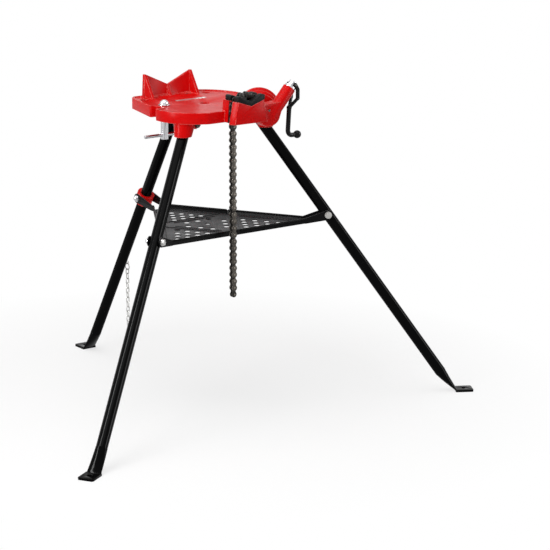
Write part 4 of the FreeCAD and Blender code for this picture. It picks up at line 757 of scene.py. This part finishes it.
def rolled_rim(corner):
    """The rolled edge along both raised sides of one leaf, from the fold to where the ears begin."""
    others = [name for name in TIP_REACH if name != corner]
    runs = []
    for other in others:
        outer = along_edge(corner, other, corner, RIM_ENDS[corner], RIM_INSET)
        inner = along_edge(corner, other, corner, FOLD_RADIUS + RIM_END_GAP, RIM_INSET)
        if "rear" not in (corner, other):
            inner = Vector((FRONT_SEAM_GAP * (1 if corner == "right" else -1), inner.y))
        runs.append(bead([(*outer, RIM_TOP - RIM_DROP), (*inner, RIM_TOP - RIM_DROP)], RIM_RADIUS))
    return joined(runs)


def centre_rims():
    """The rolled edge along the short sides of the middle panel."""
    runs = []
    for corner in ("left", "right"):
        lower = along_edge(corner, "rear", corner, FOLD_RADIUS - RIM_END_GAP, RIM_INSET)
        upper = along_edge(corner, "rear", "rear", FOLD_RADIUS - RIM_END_GAP, RIM_INSET)
        runs.append(bead([(*lower, RIM_TOP - RIM_DROP), (*upper, RIM_TOP - RIM_DROP)], RIM_RADIUS))
    return joined(runs)


def rib_line(corner, reach, short):
    """Both ends of a pressed rib that runs across the tray, parallel to a fold."""
    others = [name for name in TIP_REACH if name != corner]
    ends = [along_edge(corner, other, corner, reach, RIB_INSET) for other in others]
    run = (ends[1] - ends[0]).normalized() * short
    return [(*(ends[0] + run), TRAY_TOP - LEAF_RIB_DROP), (*(ends[1] - run), TRAY_TOP - LEAF_RIB_DROP)]


def leaf_ribs(corner):
    """Ribs pressed up in a leaf: one beside the fold, and two that narrow towards the leg."""
    frame_of_leaf = fold_frame(corner)
    meshes = [bead(rib_line(corner, FOLD_RADIUS + FOLD_RIB_SET, FOLD_RIB_SHORT), FOLD_RIB_RADIUS, 8)]
    (out, near_side), (back, far_side) = SIDE_RIB_NEAR, SIDE_RIB_FAR
    for side in (-1, 1):
        near = frame_of_leaf @ Vector((FOLD_RADIUS + out, side * near_side, TRAY_TOP - RIB_DROP))
        far = frame_of_leaf @ Vector((RIM_ENDS[corner] - back, side * far_side, TRAY_TOP - RIB_DROP))
        meshes.append(bead([tuple(near), tuple(far)], SIDE_RIB_RADIUS, 8))
    return joined(meshes)


def centre_ribs():
    """One rib beside each fold, on the middle panel's side of it."""
    meshes = []
    for corner in LEG_TURNS:
        frame_of_leaf = fold_frame(corner)
        reach = FOLD_RADIUS - FOLD_RIB_SET
        ends = []
        for side in (-1, 1):
            ends.append(tuple(frame_of_leaf @ Vector((reach, side * CENTRE_RIB_HALF, TRAY_TOP - RIB_DROP))))
        meshes.append(bead(ends, FOLD_RIB_RADIUS, 8))
    return joined(meshes)


def strip_plate():
    """Plain metal strip let into the deck, with rounded corners and a broken edge."""
    shape = bmesh.new()
    outline = []
    for turn in range(4):
        x = (STRIP_HALF_LENGTH - STRIP_CORNER) * (1 if turn in (0, 3) else -1)
        y = (STRIP_HALF_WIDTH - STRIP_CORNER) * (1 if turn in (0, 1) else -1)
        for step in range(6):
            angle = math.radians(90 * turn + 18 * step)
            outline.append((x + STRIP_CORNER * math.cos(angle), y + STRIP_CORNER * math.sin(angle)))
    turned = Matrix.Rotation(math.radians(STRIP_TURN), 4, "Z")
    place = Matrix.Translation((*STRIP_PLACE, 0.0)) @ turned
    base = [shape.verts.new(place @ Vector((x, y, DECK_Z + STRIP_LIFT))) for x, y in outline]
    face = shape.faces.new(base)
    raised = bmesh.ops.extrude_face_region(shape, geom=[face])
    for vert in [item for item in raised["geom"] if isinstance(item, bmesh.types.BMVert)]:
        vert.co.z += STRIP_THICKNESS
    bmesh.ops.recalc_face_normals(shape, faces=shape.faces)
    mesh = bpy.data.meshes.new("strip")
    shape.to_mesh(mesh)
    shape.free()
    return mesh


# ----------------------------------------------------------------------
# pieces
# ----------------------------------------------------------------------
for node, material in NODE_FINISH.items():
    data = frame["nodes"][node].data
    data.materials.clear()
    data.materials.append(material)

dressed("enamelled_head_casting", "base_casting", 0.0009, reshape=flare_head_wall)
dressed("enamelled_leg_collar", "rear_leg_collar", 0.0009)
for side in ("front_left", "front_right", "rear"):
    dressed(side + "_leg_tube", side + "_leg", 0.0004)
for corner in LEG_TURNS:
    dressed(corner + "_tray_leaf_sheet", f"tray_{corner}_leaf", 0.0003)
    body = BODY_OF[f"tray_{corner}_leaf"]
    keep_piece(corner + "_rolled_rim", rolled_rim(corner), RIM_BLACK_AND_RIB_SHADE, body)
    # Painted shade: the ribs are black so that they read as shadow lines beside the folds.
    keep_piece(corner + "_pressed_ribs", leaf_ribs(corner), RIM_BLACK_AND_RIB_SHADE, body)
dressed("tray_centre_sheet", "tray_centre_panel", 0.0003)
keep_piece("centre_rolled_rims", centre_rims(), RIM_BLACK_AND_RIB_SHADE, "tray_centre_body")
# Painted shade: the ribs are black so that they read as shadow lines beside the folds.
keep_piece("centre_pressed_ribs", centre_ribs(), RIM_BLACK_AND_RIB_SHADE, "tray_centre_body")
dressed("toothed_front_jaw", "front_jaw", 0.0004)
dressed("toothed_rear_jaw", "rear_jaw", 0.0004)
for node in sorted(n for n in NODE_FINISH if n.startswith("chain_") and n.endswith("links")):
    dressed(node.replace("chain_", "roller_chain_"), node, 0.0003)
RIVETS = rivet_tree(RIVET)
RIVET_PINS = {"head": head_chain_pins()}
for body, count in TAIL_PINS.items():
    drops = [Vector((0.0, 0.0, CHAIN_PITCH * index)) for index in range(count)]
    RIVET_PINS[body] = [JOINT_PLACE[body] - drop for drop in drops]
for body, pins in RIVET_PINS.items():
    heads = run_tree(RIVETS, rivet_seats(pins), RIVET_HEAD)
    # painted shade: the head's rivets take the darker chain steel
    keep_piece(body + "_rivets", heads, CHAIN_HEAD_PAINTED_SHADE if body == "head" else RIVET, body)
forged("forged_crank", "crank_arm", 0.0006, 18)
dressed("crank_knob", "crank_ball")
for node in ("brace_cap", "brace_screw", "brace_handle_bar", "tube_bush", "vise_screw", "leg_pivot_bolts",
             "leg_pivot_nuts", "left_tray_bolt", "right_tray_bolt", "rear_tray_bolt"):
    dressed(node + "_turned", node, 0.0004)
for node in ("left_cap_nut", "right_cap_nut", "rear_cap_nut", "transport_eye", "transport_ring",
             "transport_chain_links", "tray_hinge_pins", "draw_nut", "crank_pin"):
    dressed(node + "_turned", node)
keep_piece("bare_deck_strip", strip_plate(), STRIP, "head")


# ----------------------------------------------------------------------
# floor, light and camera
# ----------------------------------------------------------------------
FLOOR_REACH = 12.0  # half the floor's width
FLOOR_FADE = (0.5, 1.0, 0.6, 1.0)  # distances from the middle, and how plain the floor is there
SURROUND_LIGHT = 0.38
CAMERA_LENS = 140.31
CAMERA_ANGLES = (-37.0, 14.1, 0.13)  # about z, down, and roll
CAMERA_PLACE = (-2.88878, HUB_Y - 4.1015, 1.570)


def seen_directly(w):
    """1 for rays from the camera, a mirror-like face or glass, and 0 for light that bounces."""
    rays = w.add("ShaderNodeLightPath").outputs
    mirror = w.math("MAXIMUM", rays["Is Camera Ray"], rays["Is Glossy Ray"])
    return w.math("MAXIMUM", mirror, rays["Is Transmission Ray"])


def pale_floor():
    """Matt floor that keeps the stand's shadow and runs out into plain white."""
    mesh = bpy.data.meshes.new("pale_floor")
    corners = [(-1, -1), (1, -1), (1, 1), (-1, 1)]
    mesh.from_pydata([(x * FLOOR_REACH, y * FLOOR_REACH, 0) for x, y in corners], [], [(0, 1, 2, 3)])
    floor = bpy.data.objects.new("pale_floor", mesh)
    bpy.context.scene.collection.objects.link(floor)
    material = bpy.data.materials.new("pale_floor")
    material.use_nodes = True
    shader = next(n for n in material.node_tree.nodes if n.type == "BSDF_PRINCIPLED")
    shader.inputs["Base Color"].default_value = (0.93, 0.93, 0.93, 1.0)
    shader.inputs["Roughness"].default_value = 0.9
    shader.inputs["Specular IOR Level"].default_value = 0.1
    w = Wiring(material.node_tree)
    distance = w.add("ShaderNodeVectorMath", operation="LENGTH")
    w.join(w.add("ShaderNodeTexCoord").outputs["Object"], distance.inputs[0])
    far = w.spread(distance.outputs["Value"], *FLOOR_FADE)
    plain = w.add("ShaderNodeEmission")
    plain.inputs["Strength"].default_value = 1.0
    blend = w.add("ShaderNodeMixShader")
    w.join(w.math("MULTIPLY", seen_directly(w), far), blend.inputs[0])
    w.join(shader.outputs[0], blend.inputs[1])
    w.join(plain.outputs[0], blend.inputs[2])
    output = next(n for n in material.node_tree.nodes if n.type == "OUTPUT_MATERIAL")
    w.join(blend.outputs[0], output.inputs["Surface"])
    mesh.materials.append(material)


def white_surround():
    """White background to look at, and a weaker even light from all round."""
    world = bpy.data.worlds.new("white_surround")
    bpy.context.scene.world = world
    world.use_nodes = True
    w = Wiring(world.node_tree)
    for node in list(world.node_tree.nodes):
        world.node_tree.nodes.remove(node)
    choose = w.add("ShaderNodeMixShader")
    w.join(seen_directly(w), choose.inputs[0])
    for slot, strength in ((1, SURROUND_LIGHT), (2, 1.0)):
        white = w.add("ShaderNodeBackground")
        white.inputs["Color"].default_value = (1.0, 1.0, 1.0, 1.0)
        white.inputs["Strength"].default_value = strength
        w.join(white.outputs[0], choose.inputs[slot])
    w.join(choose.outputs[0], w.add("ShaderNodeOutputWorld").inputs["Surface"])


def soft_lamp(name, place, target, width, height, watts, mirrored=True, diffuse=True):
    """Area lamp aimed at a point; it can be left out of mirrored or of diffuse light."""
    lamp = bpy.data.lights.new(name, "AREA")
    lamp.shape = "RECTANGLE"
    lamp.size = width
    lamp.size_y = height
    lamp.energy = watts
    holder = bpy.data.objects.new(name, lamp)
    holder.location = place
    holder.rotation_euler = (Vector(target) - Vector(place)).to_track_quat("-Z", "Y").to_euler()
    holder.visible_glossy = mirrored
    holder.visible_diffuse = diffuse
    bpy.context.scene.collection.objects.link(holder)


def camera():
    """Camera in the stand's frame: turned about z, pitched down and rolled slightly."""
    lens = bpy.data.cameras.new("camera")
    lens.sensor_width = 36.0
    lens.lens = CAMERA_LENS
    lens.clip_end = 40.0
    eye = bpy.data.objects.new("camera", lens)
    azimuth, pitch, roll = (math.radians(angle) for angle in CAMERA_ANGLES)
    ahead = Vector((-math.sin(azimuth) * math.cos(pitch),
                    math.cos(azimuth) * math.cos(pitch),
                    -math.sin(pitch)))
    right = Vector((math.cos(azimuth), math.sin(azimuth), 0.0))
    up = right.cross(ahead)
    side = right * math.cos(roll) + up * math.sin(roll)
    top = up * math.cos(roll) - right * math.sin(roll)
    rows = [(side[i], top[i], -ahead[i], CAMERA_PLACE[i]) for i in range(3)] + [(0.0, 0.0, 0.0, 1.0)]
    eye.matrix_world = Matrix(rows)
    bpy.context.scene.collection.objects.link(eye)
    bpy.context.scene.camera = eye


pale_floor()
white_surround()
soft_lamp("sky_panel", (-0.6, -0.4, 3.2), (0.0, 0.0, 0.6), 3.0, 3.0, 60.0)
soft_lamp("left_panel", (-3.2, -1.2, 1.8), (0.0, -0.1, 0.6), 1.6, 2.6, 60.0, mirrored=False)
soft_lamp("right_strip", (2.6, -2.2, 1.6), (0.0, -0.1, 0.5), 0.7, 2.8, 85.0, diffuse=False)
soft_lamp("left_strip", (-3.0, 0.3, 2.6), (0.0, -0.1, 0.5), 0.5, 4.4, 340.0, diffuse=False)
camera()
bpy.context.scene.view_settings.view_transform = "Standard"
